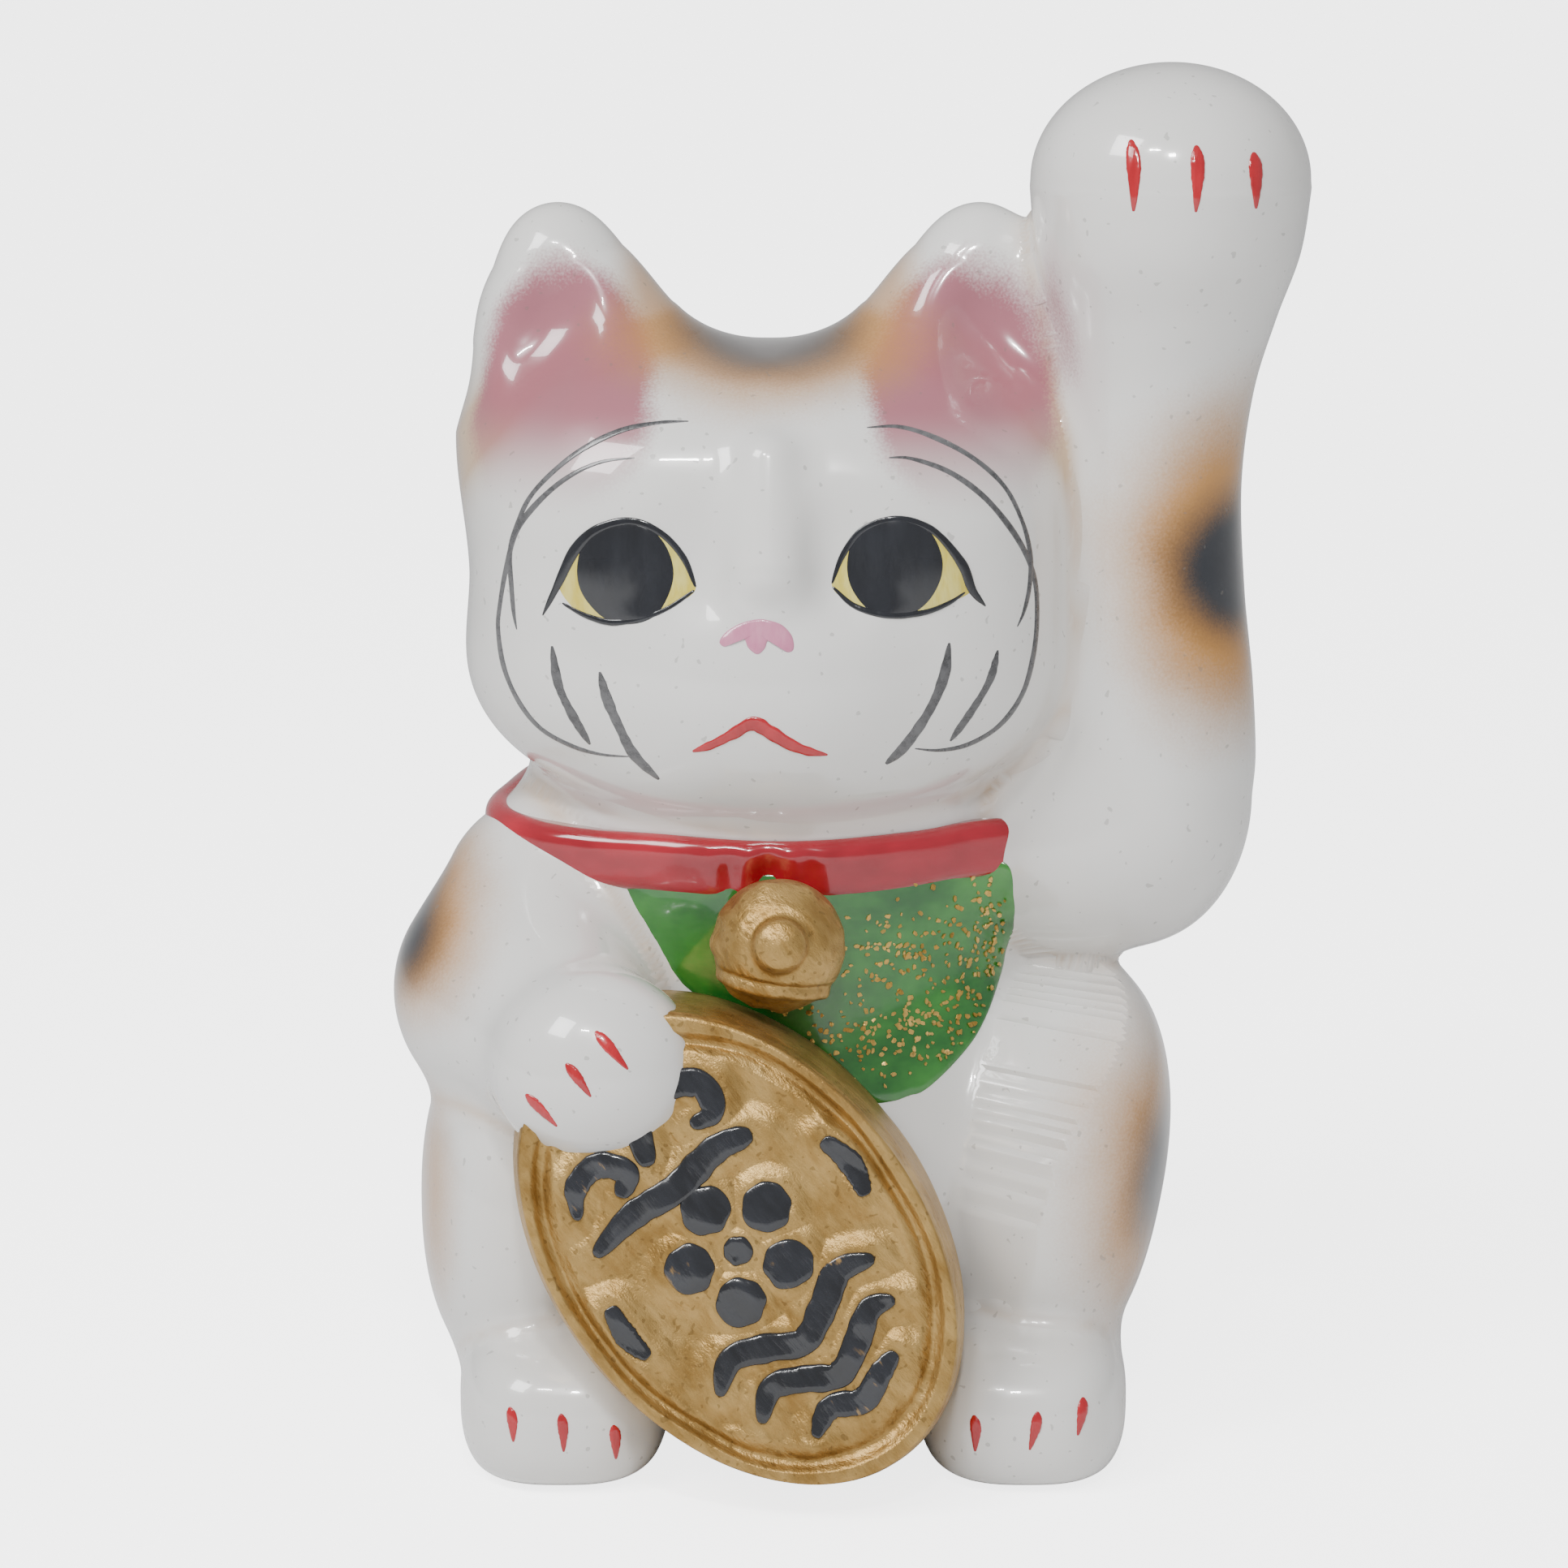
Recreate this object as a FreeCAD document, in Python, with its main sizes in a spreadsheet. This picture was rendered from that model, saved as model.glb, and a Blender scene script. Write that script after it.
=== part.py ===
"""A glazed ceramic beckoning cat, about 20 cm tall, that is also a money bank.

The cat sits facing -Y, with its left foreleg raised beside its head and its right
forepaw resting on an oval coin.  The potter casts or presses each piece by itself and
lutes them together with slip, so each piece is a solid of its own here, and the pieces
meet face to face.  The body and the head are hollow, with a coin slot high in the back
and a rubber stopper in the base.

Millimetres, +Z up.  The origin is on the flat base, under the neck.
"""

import FreeCAD, Part
import Sketcher
import os

from FreeCAD import Placement, Rotation, Vector

PARTS = "parts"
X_AXIS = Vector(1, 0, 0)
Y_AXIS = Vector(0, 1, 0)
Z_AXIS = Vector(0, 0, 1)

# The ends of the aliases that hold a ball's middle and its radius.
BALL_ENDS = ("across", "back", "high", "round")

# Every driving dimension, in millimetres or degrees: alias, value, what it is.
SIZES = [
    ("wall", 3.5, "thickness of the cast walls"),
    ("lean_x", -1.6, "the head's middle, across"),
    ("head_wide", 91.2, "head across the cheeks"),
    ("head_deep", 72.0, "head from face to back"),
    ("head_tall", 68.0, "head from chin to crown"),
    ("head_mid", 131.0, "height of the head's middle"),
    ("head_round", 28.0, "rounding of the head seen from above"),
    ("crown_round", 26.0, "rounding of the crown"),
    ("jaw_round", 17.0, "rounding of the jaw"),
    ("neck_vent", 10.0, "radius of the air hole through the head's floor"),
    ("muzzle_wide", 32.0, "muzzle, side to side"),
    ("muzzle_proud", 3.0, "how far the muzzle stands out from the face"),
    ("muzzle_mid", 121.0, "height of the muzzle's middle"),
    ("ear_apart", 51.8, "between the roots of the ears"),
    ("ear_spread", 4.6, "how far out an ear's tip leans from its root"),
    ("ear_back", -1.0, "ears behind the head's middle"),
    ("ear_thin", 0.85, "an ear's depth as a share of its width"),
    ("ear_root", 18.0, "half width of an ear's root, inside the head"),
    ("ear_root_high", 138.0, "height of an ear's root"),
    ("ear_wide", 20.0, "half width of an ear where it leaves the head"),
    ("ear_wide_high", 156.0, "height of that place"),
    ("ear_slim", 17.2, "half width of an ear half-way up"),
    ("ear_slim_high", 168.5, "height of that place"),
    ("ear_tip", 13.6, "half width of an ear under its rounded tip"),
    ("ear_tip_high", 177.0, "height of that place"),
    ("ear_dome", 8.6, "half width of an ear near its top"),
    ("ear_dome_high", 184.6, "height of that place"),
    ("ear_end", 3.0, "half width of the small flat on top of an ear"),
    ("ear_end_high", 187.6, "height of an ear's top"),
    ("dish_apart", 67.0, "between the middles of the hollows in the ears"),
    ("dish_wide", 14.5, "half width of a hollow"),
    ("dish_deep", 15.0, "half depth of a hollow"),
    ("dish_tall", 26.0, "half height of a hollow"),
    ("dish_front", -24.0, "hollows ahead of the middle"),
    ("dish_high", 166.0, "height of the hollows' middles"),
    ("haunch_wide", 16.5, "half width of a haunch"),
    ("haunch_deep", 30.5, "half depth of a haunch"),
    ("haunch_tall", 30.0, "half height of a haunch"),
    ("haunch_front", -8.0, "haunches ahead of the middle"),
    ("haunch_right", -39.1, "middle of the right haunch, across"),
    ("haunch_right_mid", 35.2, "height of the right haunch"),
    ("haunch_left", 43.1, "middle of the left haunch, across"),
    ("haunch_left_mid", 40.1, "height of the left haunch"),
    ("foot_wide", 16.0, "half width of a hind foot"),
    ("foot_deep", 25.0, "half length of a hind foot"),
    ("foot_tall", 13.0, "half height of a hind foot"),
    ("foot_right", -32.6, "middle of the right hind foot"),
    ("foot_left", 37.0, "middle of the left hind foot"),
    ("foot_front", -26.0, "hind feet ahead of the middle"),
    ("foot_mid", 9.5, "height of the hind feet's middles"),
    ("foot_round", 12.4, "rounding of the hind feet"),
    ("shoulder_out", 43.0, "raised shoulder, from the middle"),
    ("shoulder_mid", 89.0, "height of the raised shoulder"),
    ("shoulder_round", 16.0, "radius of the raised shoulder"),
    ("leg_wall", 8.5, "thickness of the raised foreleg's wall"),
    ("leg_vent", 3.5, "radius of the air hole from the foreleg into the body"),
    ("leg_vent_long", 26.0, "length of that air hole"),
    ("leg_vent_out", 28.0, "the air hole's inner end, from the middle"),
    ("tail_round", 11.0, "half width of the bobtail"),
    ("tail_tall", 14.0, "half height of the bobtail"),
    ("tail_mid", 24.0, "height of the bobtail's middle"),
    ("tail_back", 45.0, "bobtail behind the origin"),
    ("collar_tall", 8.6, "width of the collar band"),
    ("collar_proud", 2.0, "how far the collar stands out from the neck"),
    ("collar_dip", 5.0, "the collar's dip towards the front, in degrees"),
    ("collar_mid", 93.0, "height of the collar's middle"),
    ("bell_round", 9.8, "radius of the bell"),
    ("bell_front", -35.0, "bell ahead of the middle"),
    ("bell_mid", 81.0, "height of the bell's middle"),
    ("bell_button", 3.6, "radius of the button on the bell"),
    ("bib_thick", 1.4, "thickness of the bib"),
    ("bib_wide", 30.0, "half width of the bib"),
    ("bib_tall", 32.0, "half height of the bib"),
    ("bib_out", 5.5, "the bib's middle, across"),
    ("bib_mid", 87.0, "height of the bib's middle"),
    ("bib_top", 88.0, "height of the bib's upper edge, under the collar"),
    ("coin_long", 39.2, "half length of the oval coin"),
    ("coin_wide", 27.0, "half width of the oval coin"),
    ("coin_thick", 26.0, "from the coin's face back into the belly"),
    ("coin_rim", 2.4, "width of the coin's raised rim"),
    ("coin_step", 0.8, "height of the coin's raised rim"),
    ("coin_turn", 39.0, "how far the coin's top leans to its right, in degrees"),
    ("coin_lean", 10.0, "how far the coin leans back, in degrees"),
    ("coin_out", -5.9, "the coin's middle, across"),
    ("coin_front", -54.0, "the coin's face ahead of the middle"),
    ("coin_mid", 39.8, "height of the coin's middle"),
    ("slot_wide", 36.0, "length of the coin slot"),
    ("slot_tall", 5.0, "height of the coin slot"),
    ("slot_mid", 74.0, "height of the coin slot's middle"),
    ("slot_back", 15.0, "the slot's inner end behind the origin"),
    ("slot_deep", 40.0, "how far back the slot's cut runs from there"),
    ("floor", 4.5, "thickness of the body's floor"),
    ("plug_out", 1.5, "stopper hole, from the origin"),
    ("plug_back", 12.0, "stopper hole behind the origin"),
    ("plug_hole", 12.5, "radius of the stopper hole"),
    ("plug_gap", 0.06, "clearance round the stopper"),
    ("plug_seat", 15.5, "radius of the recess for the stopper's flange"),
    ("plug_deep", 1.9, "depth of that recess"),
    ("plug_inset", 0.4, "how far the stopper stays above the table"),
    ("plug_tall", 9.0, "height of the stopper"),
]

# The torso's level outlines: name, height, middle across, middle front to back, half
# width and half depth.
TORSO = [
    ("base", 0.0, 1.5, 8.5, 40.0, 32.5),
    ("heel", 6.0, 1.5, 8.8, 44.5, 35.5),
    ("hip", 20.0, 1.5, 9.0, 48.5, 38.4),
    ("belly", 36.0, 1.2, 8.8, 49.0, 38.8),
    ("waist", 56.0, 0.3, 7.5, 45.5, 36.6),
    ("chest", 74.0, -0.8, 5.5, 41.8, 33.6),
    ("neck", 90.0, -1.5, 4.0, 39.4, 31.6),
    ("throat", 104.0, -1.6, 3.0, 36.5, 29.0),
]

# The raised foreleg's level outlines: name, height, middle across, middle front to back
# and radius.  The first and the last are the small flats that its rounded ends close on.
FORELEG = [
    ("elbow_end", 73.6, 54.0, -2.8, 6.0),
    ("elbow_low", 79.0, 54.4, -2.9, 12.6),
    ("elbow", 88.0, 55.0, -3.0, 16.7),
    ("elbow_wide", 98.7, 55.3, -3.0, 17.9),
    ("shin", 112.0, 56.5, -3.6, 16.7),
    ("calf", 127.0, 56.2, -4.2, 15.3),
    ("wrist", 146.0, 56.2, -5.0, 14.2),
    ("heel", 160.0, 56.8, -6.2, 14.7),
    ("palm", 172.0, 57.8, -8.0, 17.0),
    ("pad", 182.0, 58.2, -10.0, 19.6),
    ("paw", 191.0, 58.2, -11.0, 20.7),
    ("knuckle", 199.5, 58.2, -11.0, 18.6),
    ("toe", 205.5, 58.2, -11.0, 13.2),
    ("toe_end", 209.2, 58.2, -11.0, 5.5),
]

# The lowered foreleg from shoulder to paw, as balls that a tapering limb joins: name,
# middle (across, front to back, height) and radius.
LOWERED = [
    ("shoulder", -34.6, -5.0, 81.5, 17.0),
    ("elbow", -38.6, -14.0, 69.0, 18.0),
    ("paw", -28.5, -41.5, 63.8, 14.2),
]

# How far along an ear's lean each of its outlines is.
EAR_LEAN = {"root": 0, "wide": 0.1, "slim": 0.5, "tip": 0.85, "dome": 1, "end": 1}

doc = FreeCAD.newDocument("beckoning_cat")
sheet = doc.addObject("Spreadsheet::Sheet", "Sizes")


def fill_sheet():
    """Writes each driving dimension to a cell with an alias."""
    rows = list(SIZES)
    for name, high, across, back, wide, deep in TORSO:
        rows += [
            (f"torso_{name}_high", high, "height of a torso outline"),
            (f"torso_{name}_across", across, "its middle, across"),
            (f"torso_{name}_back", back, "its middle, front to back"),
            (f"torso_{name}_wide", wide, "its half width"),
            (f"torso_{name}_deep", deep, "its half depth"),
        ]
    for name, high, across, back, radius in FORELEG:
        rows += [
            (f"leg_{name}_high", high, "height of a foreleg outline"),
            (f"leg_{name}_across", across, "its middle, across"),
            (f"leg_{name}_back", back, "its middle, front to back"),
            (f"leg_{name}_round", radius, "its radius"),
        ]
    for name, *numbers in LOWERED:
        for end, value in zip(BALL_ENDS, numbers):
            rows.append((f"low_{name}_{end}", value, f"the lowered {name}: {end}"))
    for row, (alias, value, words) in enumerate(rows, 1):
        sheet.set(f"A{row}", alias)
        sheet.set(f"B{row}", str(value))
        sheet.set(f"C{row}", words)
        sheet.setAlias(f"B{row}", alias)
    doc.recompute()


def bind(thing, **sizes):
    """Binds properties of an object to expressions over the sheet's aliases."""
    for name, expression in sizes.items():
        thing.setExpression(name, expression)
    return thing


def place(thing, across="0", back="0", high="0"):
    """Binds an object's position to expressions."""
    for axis, expression in zip("xyz", (across, back, high)):
        thing.setExpression(f"Placement.Base.{axis}", expression)
    return thing


def ellipsoid(name, across, back, high, wide, deep, tall):
    """An ellipsoid with its half sizes along X, Y and Z."""
    thing = doc.addObject("Part::Ellipsoid", name)
    bind(thing, Radius1=tall, Radius2=wide, Radius3=deep)
    thing.Angle1, thing.Angle2, thing.Angle3 = -90, 90, 360
    return place(thing, across, back, high)


def sphere(name, across, back, high, radius):
    """A ball."""
    thing = bind(doc.addObject("Part::Sphere", name), Radius=radius)
    return place(thing, across, back, high)


def cylinder(name, radius, length, axis=Z_AXIS):
    """A cylinder that starts at the origin and runs along an axis."""
    thing = bind(doc.addObject("Part::Cylinder", name), Radius=radius, Height=length)
    thing.Placement = Placement(Vector(), Rotation(Z_AXIS, axis))
    return thing


def box(name, long, deep, tall):
    """A box, which place() then puts by its lowest corner."""
    return bind(doc.addObject("Part::Box", name), Length=long, Width=deep, Height=tall)


def outline(name, across, back, high, wide, deep):
    """A level ellipse, wider than it is deep."""
    thing = bind(doc.addObject("Part::Ellipse", name), MajorRadius=wide, MinorRadius=deep)
    return place(thing, across, back, high)


def ring(name, across, back, high, radius):
    """A level circle."""
    thing = bind(doc.addObject("Part::Circle", name), Radius=radius)
    return place(thing, across, back, high)


def loft(name, sections):
    """A smooth solid through level outlines."""
    thing = doc.addObject("Part::Loft", name)
    thing.Sections, thing.Solid, thing.Ruled = sections, True, False
    return thing


def fuse(name, pieces):
    """Several solids joined into one."""
    thing = doc.addObject("Part::MultiFuse", name)
    thing.Shapes = pieces
    return thing


def common(name, pieces):
    """What several solids share."""
    thing = doc.addObject("Part::MultiCommon", name)
    thing.Shapes = pieces
    return thing


def cut(name, base, *tools):
    """A solid less other solids; the last object carries the name."""
    for number, tool in enumerate(tools, 1):
        last = number == len(tools)
        thing = doc.addObject("Part::Cut", name if last else f"{name}_less_{number}")
        thing.Base, thing.Tool = base, tool
        base = thing
    return base


def body_plane(body, role):
    """One of a body's own origin planes."""
    return next(f for f in body.Origin.OriginFeatures if f.Role == role)


def torso(name, grow, first="base", floor=""):
    """The torso through its outlines, each grown by an expression; it ends at the throat.

    A floor's height, where it is given, takes the place of the first outline's.
    """
    sections = []
    names = [row[0] for row in TORSO]
    for station in names[names.index(first):]:
        cell = f"Sizes.torso_{station}_"
        high = floor if floor and station == first else f"{cell}high"
        sections.append(outline(f"{name}_{station}", f"{cell}across", f"{cell}back", high,
                                f"{cell}wide + {grow}", f"{cell}deep + {grow}"))
    return loft(f"{name}_loft", sections)


def haunches():
    """The two haunches, pressed solid."""
    return [ellipsoid(f"haunch_{side}", f"Sizes.haunch_{side}", "Sizes.haunch_front",
                      f"Sizes.haunch_{side}_mid", "Sizes.haunch_wide", "Sizes.haunch_deep",
                      "Sizes.haunch_tall")
            for side in ("right", "left")]


def bind_distances(sketch, distances):
    """Adds a sketch's driving distances: label, kind, points and expression."""
    for label, way, points, expression in distances:
        index = sketch.addConstraint(Sketcher.Constraint(way, *points, 50.0))
        sketch.renameConstraint(index, label)
        sketch.setExpression(f"Constraints.{label}", expression)


def sketch_on(body, role, name):
    """A new sketch on one of a body's origin planes."""
    sketch = body.newObject("Sketcher::SketchObject", name)
    sketch.AttachmentSupport = (body_plane(body, role), [""])
    sketch.MapMode = "FlatFace"
    return sketch


def closed_outline(sketch, corners, ways):
    """Draws a closed outline of lines, each held horizontal or vertical."""
    count = len(corners)
    for start, end in zip(corners, corners[1:] + corners[:1]):
        sketch.addGeometry(Part.LineSegment(start, end))
    for number in range(count):
        following = (number + 1) % count
        sketch.addConstraint(Sketcher.Constraint("Coincident", number, 2, following, 1))
        sketch.addConstraint(Sketcher.Constraint(ways[number % 2], number))


def rounding(body, base, name, radius, wanted):
    """A fillet along those edges of a feature that lie where the test says."""
    doc.recompute()
    names = [f"Edge{number}" for number, edge in enumerate(base.Shape.Edges, 1)
             if wanted(edge.BoundBox)]
    fillet = body.newObject("PartDesign::Fillet", f"{body.Name}_{name}")
    fillet.Base = (base, names)
    bind(fillet, Radius=radius)
    body.Tip = fillet
    return fillet


def rounded_block(name, wide, deep, tall, corner, top, bottom):
    """A block about its own middle, its corners, top edge and bottom edge rounded."""
    body = doc.addObject("PartDesign::Body", name)
    sketch = sketch_on(body, "XY_Plane", f"{name}_plan")
    corners = [Vector(-40, -30), Vector(40, -30), Vector(40, 30), Vector(-40, 30)]
    closed_outline(sketch, corners, ("Horizontal", "Vertical"))
    sketch.addConstraint(Sketcher.Constraint("Symmetric", 0, 1, 2, 1, -1, 1))
    bind_distances(sketch, [("wide", "DistanceX", (0, 1, 0, 2), wide),
                            ("deep", "DistanceY", (1, 1, 1, 2), deep)])
    pad = body.newObject("PartDesign::Pad", f"{name}_pad")
    pad.Profile = sketch
    pad.Midplane = True
    bind(pad, Length=tall)
    upright = rounding(body, pad, "corners", corner, lambda edge: edge.ZLength > 1)
    crown = rounding(body, upright, "top", top, lambda edge: edge.ZMin > 1)
    rounding(body, crown, "bottom", bottom,
             lambda edge: edge.ZMax < -1 and edge.ZLength < 0.01)
    return body


def head_block(name, shrink):
    """The head's block, shrunk all round by an expression."""
    block = rounded_block(name, f"Sizes.head_wide - 2 * {shrink}",
                          f"Sizes.head_deep - 2 * {shrink}", f"Sizes.head_tall - 2 * {shrink}",
                          f"Sizes.head_round - {shrink}", f"Sizes.crown_round - {shrink}",
                          f"Sizes.jaw_round - {shrink}")
    return place(block, "Sizes.lean_x", "0", "Sizes.head_mid")


def coin_body(name):
    """A body in the coin's own frame: its oval lies upright and its back points to +Y."""
    body = doc.addObject("PartDesign::Body", name)
    lean = Rotation(X_AXIS, -sheet.coin_lean)
    turn = Rotation(Y_AXIS, -sheet.coin_turn)
    body.Placement = Placement(Vector(), lean.multiply(turn))
    return place(body, "Sizes.coin_out", "Sizes.coin_front", "Sizes.coin_mid")


def oval_feature(body, kind, inset, depth, start="0"):
    """One oval, padded or pocketed backwards from a start behind the coin's face."""
    sketch = sketch_on(body, "XZ_Plane", f"{body.Name}_{kind.lower()}_oval")
    sketch.setExpression("AttachmentOffset.Base.z", f"-({start})")
    sketch.addGeometry(Part.Ellipse(Vector(0, 30), Vector(20, 0), Vector()))
    sketch.exposeInternalGeometry(0)
    sketch.addConstraint(Sketcher.Constraint("Coincident", 0, 3, -1, 1))
    sketch.addConstraint(Sketcher.Constraint("Vertical", 1))
    bind_distances(sketch, [
        ("long", "Distance", (1,), f"2 * (Sizes.coin_long - {inset})"),
        ("wide", "Distance", (2,), f"2 * (Sizes.coin_wide - {inset})"),
    ])
    feature = body.newObject(f"PartDesign::{kind}", f"{body.Name}_{kind.lower()}")
    feature.Profile = sketch
    feature.Reversed = kind == "Pad"
    bind(feature, Length=depth)
    doc.recompute()
    body.Tip = feature


def make_body():
    """The hollow torso with its solid haunches: coin slot behind, stopper hole below."""
    hollow = torso("body_hollow", "(-Sizes.wall)", "heel", "Sizes.floor")
    slot = place(box("coin_slot", "Sizes.slot_wide", "Sizes.slot_deep", "Sizes.slot_tall"),
                 "Sizes.lean_x - Sizes.slot_wide / 2", "Sizes.slot_back",
                 "Sizes.slot_mid - Sizes.slot_tall / 2")
    hole = place(cylinder("stopper_hole", "Sizes.plug_hole", "20"),
                 "Sizes.plug_out", "Sizes.plug_back", "-5")
    seat = place(cylinder("stopper_seat", "Sizes.plug_seat", "5 + Sizes.plug_deep"),
                 "Sizes.plug_out", "Sizes.plug_back", "-5")
    return cut("body_shell", body_full, head_full, hollow, slot, hole, seat, leg_vent)


def make_head():
    """The hollow head with an air hole through its floor."""
    vent = place(cylinder("neck_vent_hole", "Sizes.neck_vent", "40"),
                 "Sizes.lean_x", "0", "Sizes.head_mid - Sizes.head_tall / 2 - 20")
    return cut("head_shell", head_full, head_block("head_hollow", "Sizes.wall"), vent)


def make_ear(side, way):
    """A pressed ear: a blunt cone, hollowed in front, seated on the head."""
    root = f"Sizes.lean_x + {way} * Sizes.ear_apart / 2"
    sections = []
    for part, lean in EAR_LEAN.items():
        sections.append(outline(f"{side}_ear_{part}", f"{root} + {way * lean} * Sizes.ear_spread",
                                "Sizes.ear_back", f"Sizes.ear_{part}_high", f"Sizes.ear_{part}",
                                f"Sizes.ear_{part} * Sizes.ear_thin"))
    dish = ellipsoid(f"{side}_ear_dish", f"Sizes.lean_x + {way} * Sizes.dish_apart / 2",
                     "Sizes.dish_front", "Sizes.dish_high", "Sizes.dish_wide",
                     "Sizes.dish_deep", "Sizes.dish_tall")
    return cut(f"{side}_ear", loft(f"{side}_ear_cone", sections), dish, head_full)


def foreleg(name, rows, grow):
    """The raised foreleg from elbow to paw through its outlines, grown by an expression."""
    sections = []
    for row in rows:
        cell = f"Sizes.leg_{row[0]}_"
        sections.append(ring(f"{name}_{row[0]}", f"{cell}across", f"{cell}back",
                             f"{cell}high", f"{cell}round + {grow}"))
    return loft(name, sections)


def make_raised_foreleg():
    """The hollow left foreleg, luted to the body, the head and the left ear."""
    hollow = foreleg("foreleg_hollow", FORELEG[1:-1], "(-Sizes.leg_wall)")
    return cut("raised_foreleg", foreleg_full, head_full, body_full, left_ear, hollow,
               leg_vent)


def make_foot(side):
    """A pressed hind foot, flat where it stands, luted to its haunch."""
    lump = rounded_block(f"{side}_foot_lump", "2 * Sizes.foot_wide", "2 * Sizes.foot_deep",
                         "2 * Sizes.foot_tall", "Sizes.foot_wide - 0.5", "Sizes.foot_round",
                         "Sizes.foot_round")
    place(lump, f"Sizes.foot_{side}", "Sizes.foot_front", "Sizes.foot_mid")
    standing = common(f"{side}_foot_standing", [lump, above])
    return cut(f"{side}_hind_foot", standing, body_full)


def make_tail():
    """The bobtail, low on the back."""
    lump = ellipsoid("tail_lump", "Sizes.torso_hip_across", "Sizes.tail_back",
                     "Sizes.tail_mid", "Sizes.tail_round", "Sizes.tail_round",
                     "Sizes.tail_tall")
    return cut("tail", lump, body_full)


def make_collar():
    """The collar: a raised band round the neck, dipping towards the bell."""
    sections = []
    for number, (share, bulge) in enumerate(((-0.5, 0.5), (-0.3, 1), (0.3, 1), (0.5, 0.5)), 1):
        section = outline(f"collar_line_{number}", "0", "0", "0",
                          f"Sizes.torso_neck_wide + {bulge} * Sizes.collar_proud",
                          f"Sizes.torso_neck_deep + {bulge} * Sizes.collar_proud")
        section.Placement = Placement(Vector(), Rotation(X_AXIS, sheet.collar_dip))
        rise = f"{share} * Sizes.collar_tall"
        sections.append(place(section, "Sizes.torso_neck_across",
                              f"Sizes.torso_neck_back - {rise} * sin(Sizes.collar_dip * 1deg)",
                              f"Sizes.collar_mid + {rise} * cos(Sizes.collar_dip * 1deg)"))
    return cut("collar", loft("collar_band", sections), body_full, head_full, foreleg_full)


def tapering_limb(name, first, second):
    """A cone from just inside one ball of the lowered foreleg to just inside the next."""
    ends = [[sheet.get(f"low_{which}_{end}") for end in BALL_ENDS] for which in (first, second)]
    start, end = (Vector(*row[:3]) for row in ends)
    cone = doc.addObject("Part::Cone", name)
    bind(cone, Radius1=f"Sizes.low_{first}_round * 0.985",
         Radius2=f"Sizes.low_{second}_round * 0.985")
    cone.Height = (end - start).Length
    cone.Placement = Placement(start, Rotation(Z_AXIS, end - start))
    return cone


def make_lowered_foreleg():
    """The right foreleg, pressed solid, with its paw over the coin's upper edge."""
    lumps = [sphere(f"low_{row[0]}", *(f"Sizes.low_{row[0]}_{end}" for end in BALL_ENDS))
             for row in LOWERED]
    lumps += [tapering_limb("low_upper_limb", "shoulder", "elbow"),
              tapering_limb("low_lower_limb", "elbow", "paw")]
    return cut("lowered_foreleg", fuse("low_lump", lumps), body_full, head_full, collar)


def make_coin():
    """The oval coin with a raised rim, cast hollow behind, leaning back on the belly."""
    room = coin_body("coin_room")
    oval_feature(room, "Pad", "Sizes.wall", "Sizes.coin_thick", "Sizes.wall + 1")
    return cut("koban_coin", coin_full, room, body_full, right_foot, left_foot,
               lowered_foreleg, collar)


def make_bib():
    """The bib: a thin round shield that follows the chest under the collar."""
    skin = torso("skin", "Sizes.bib_thick")
    shield = bind(doc.addObject("Part::Ellipse", "bib_outline"),
                  MajorRadius="Sizes.bib_tall", MinorRadius="Sizes.bib_wide")
    shield.Placement = Placement(Vector(), Rotation(Vector(1, 1, 1), 240))
    place(shield, "Sizes.bib_out", "0", "Sizes.bib_mid")
    block = doc.addObject("Part::Extrusion", "bib_block")
    block.Base = shield
    block.DirMode = "Custom"
    block.Dir = Vector(0, -1, 0)
    block.LengthFwd = 70
    block.Solid = True
    below = place(box("below_collar", "300", "300", "300"), "-150", "-150",
                  "Sizes.bib_top - 300")
    return cut("bib", common("bib_sheet", [skin, block, below]), body_full, head_full, collar,
               lowered_foreleg, coin_full, foreleg_full)


def make_bell():
    """The bell: a ball with a button, seated on the collar and the bib."""
    ball = sphere("bell_ball", "0", "Sizes.bell_front", "Sizes.bell_mid", "Sizes.bell_round")
    button = sphere("bell_button_ball", "0", "Sizes.bell_front - Sizes.bell_round + 1.2",
                    "Sizes.bell_mid + 1.5", "Sizes.bell_button")
    return cut("bell", fuse("bell_lump", [ball, button]), body_full, head_full, collar, bib,
               koban_coin)


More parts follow.
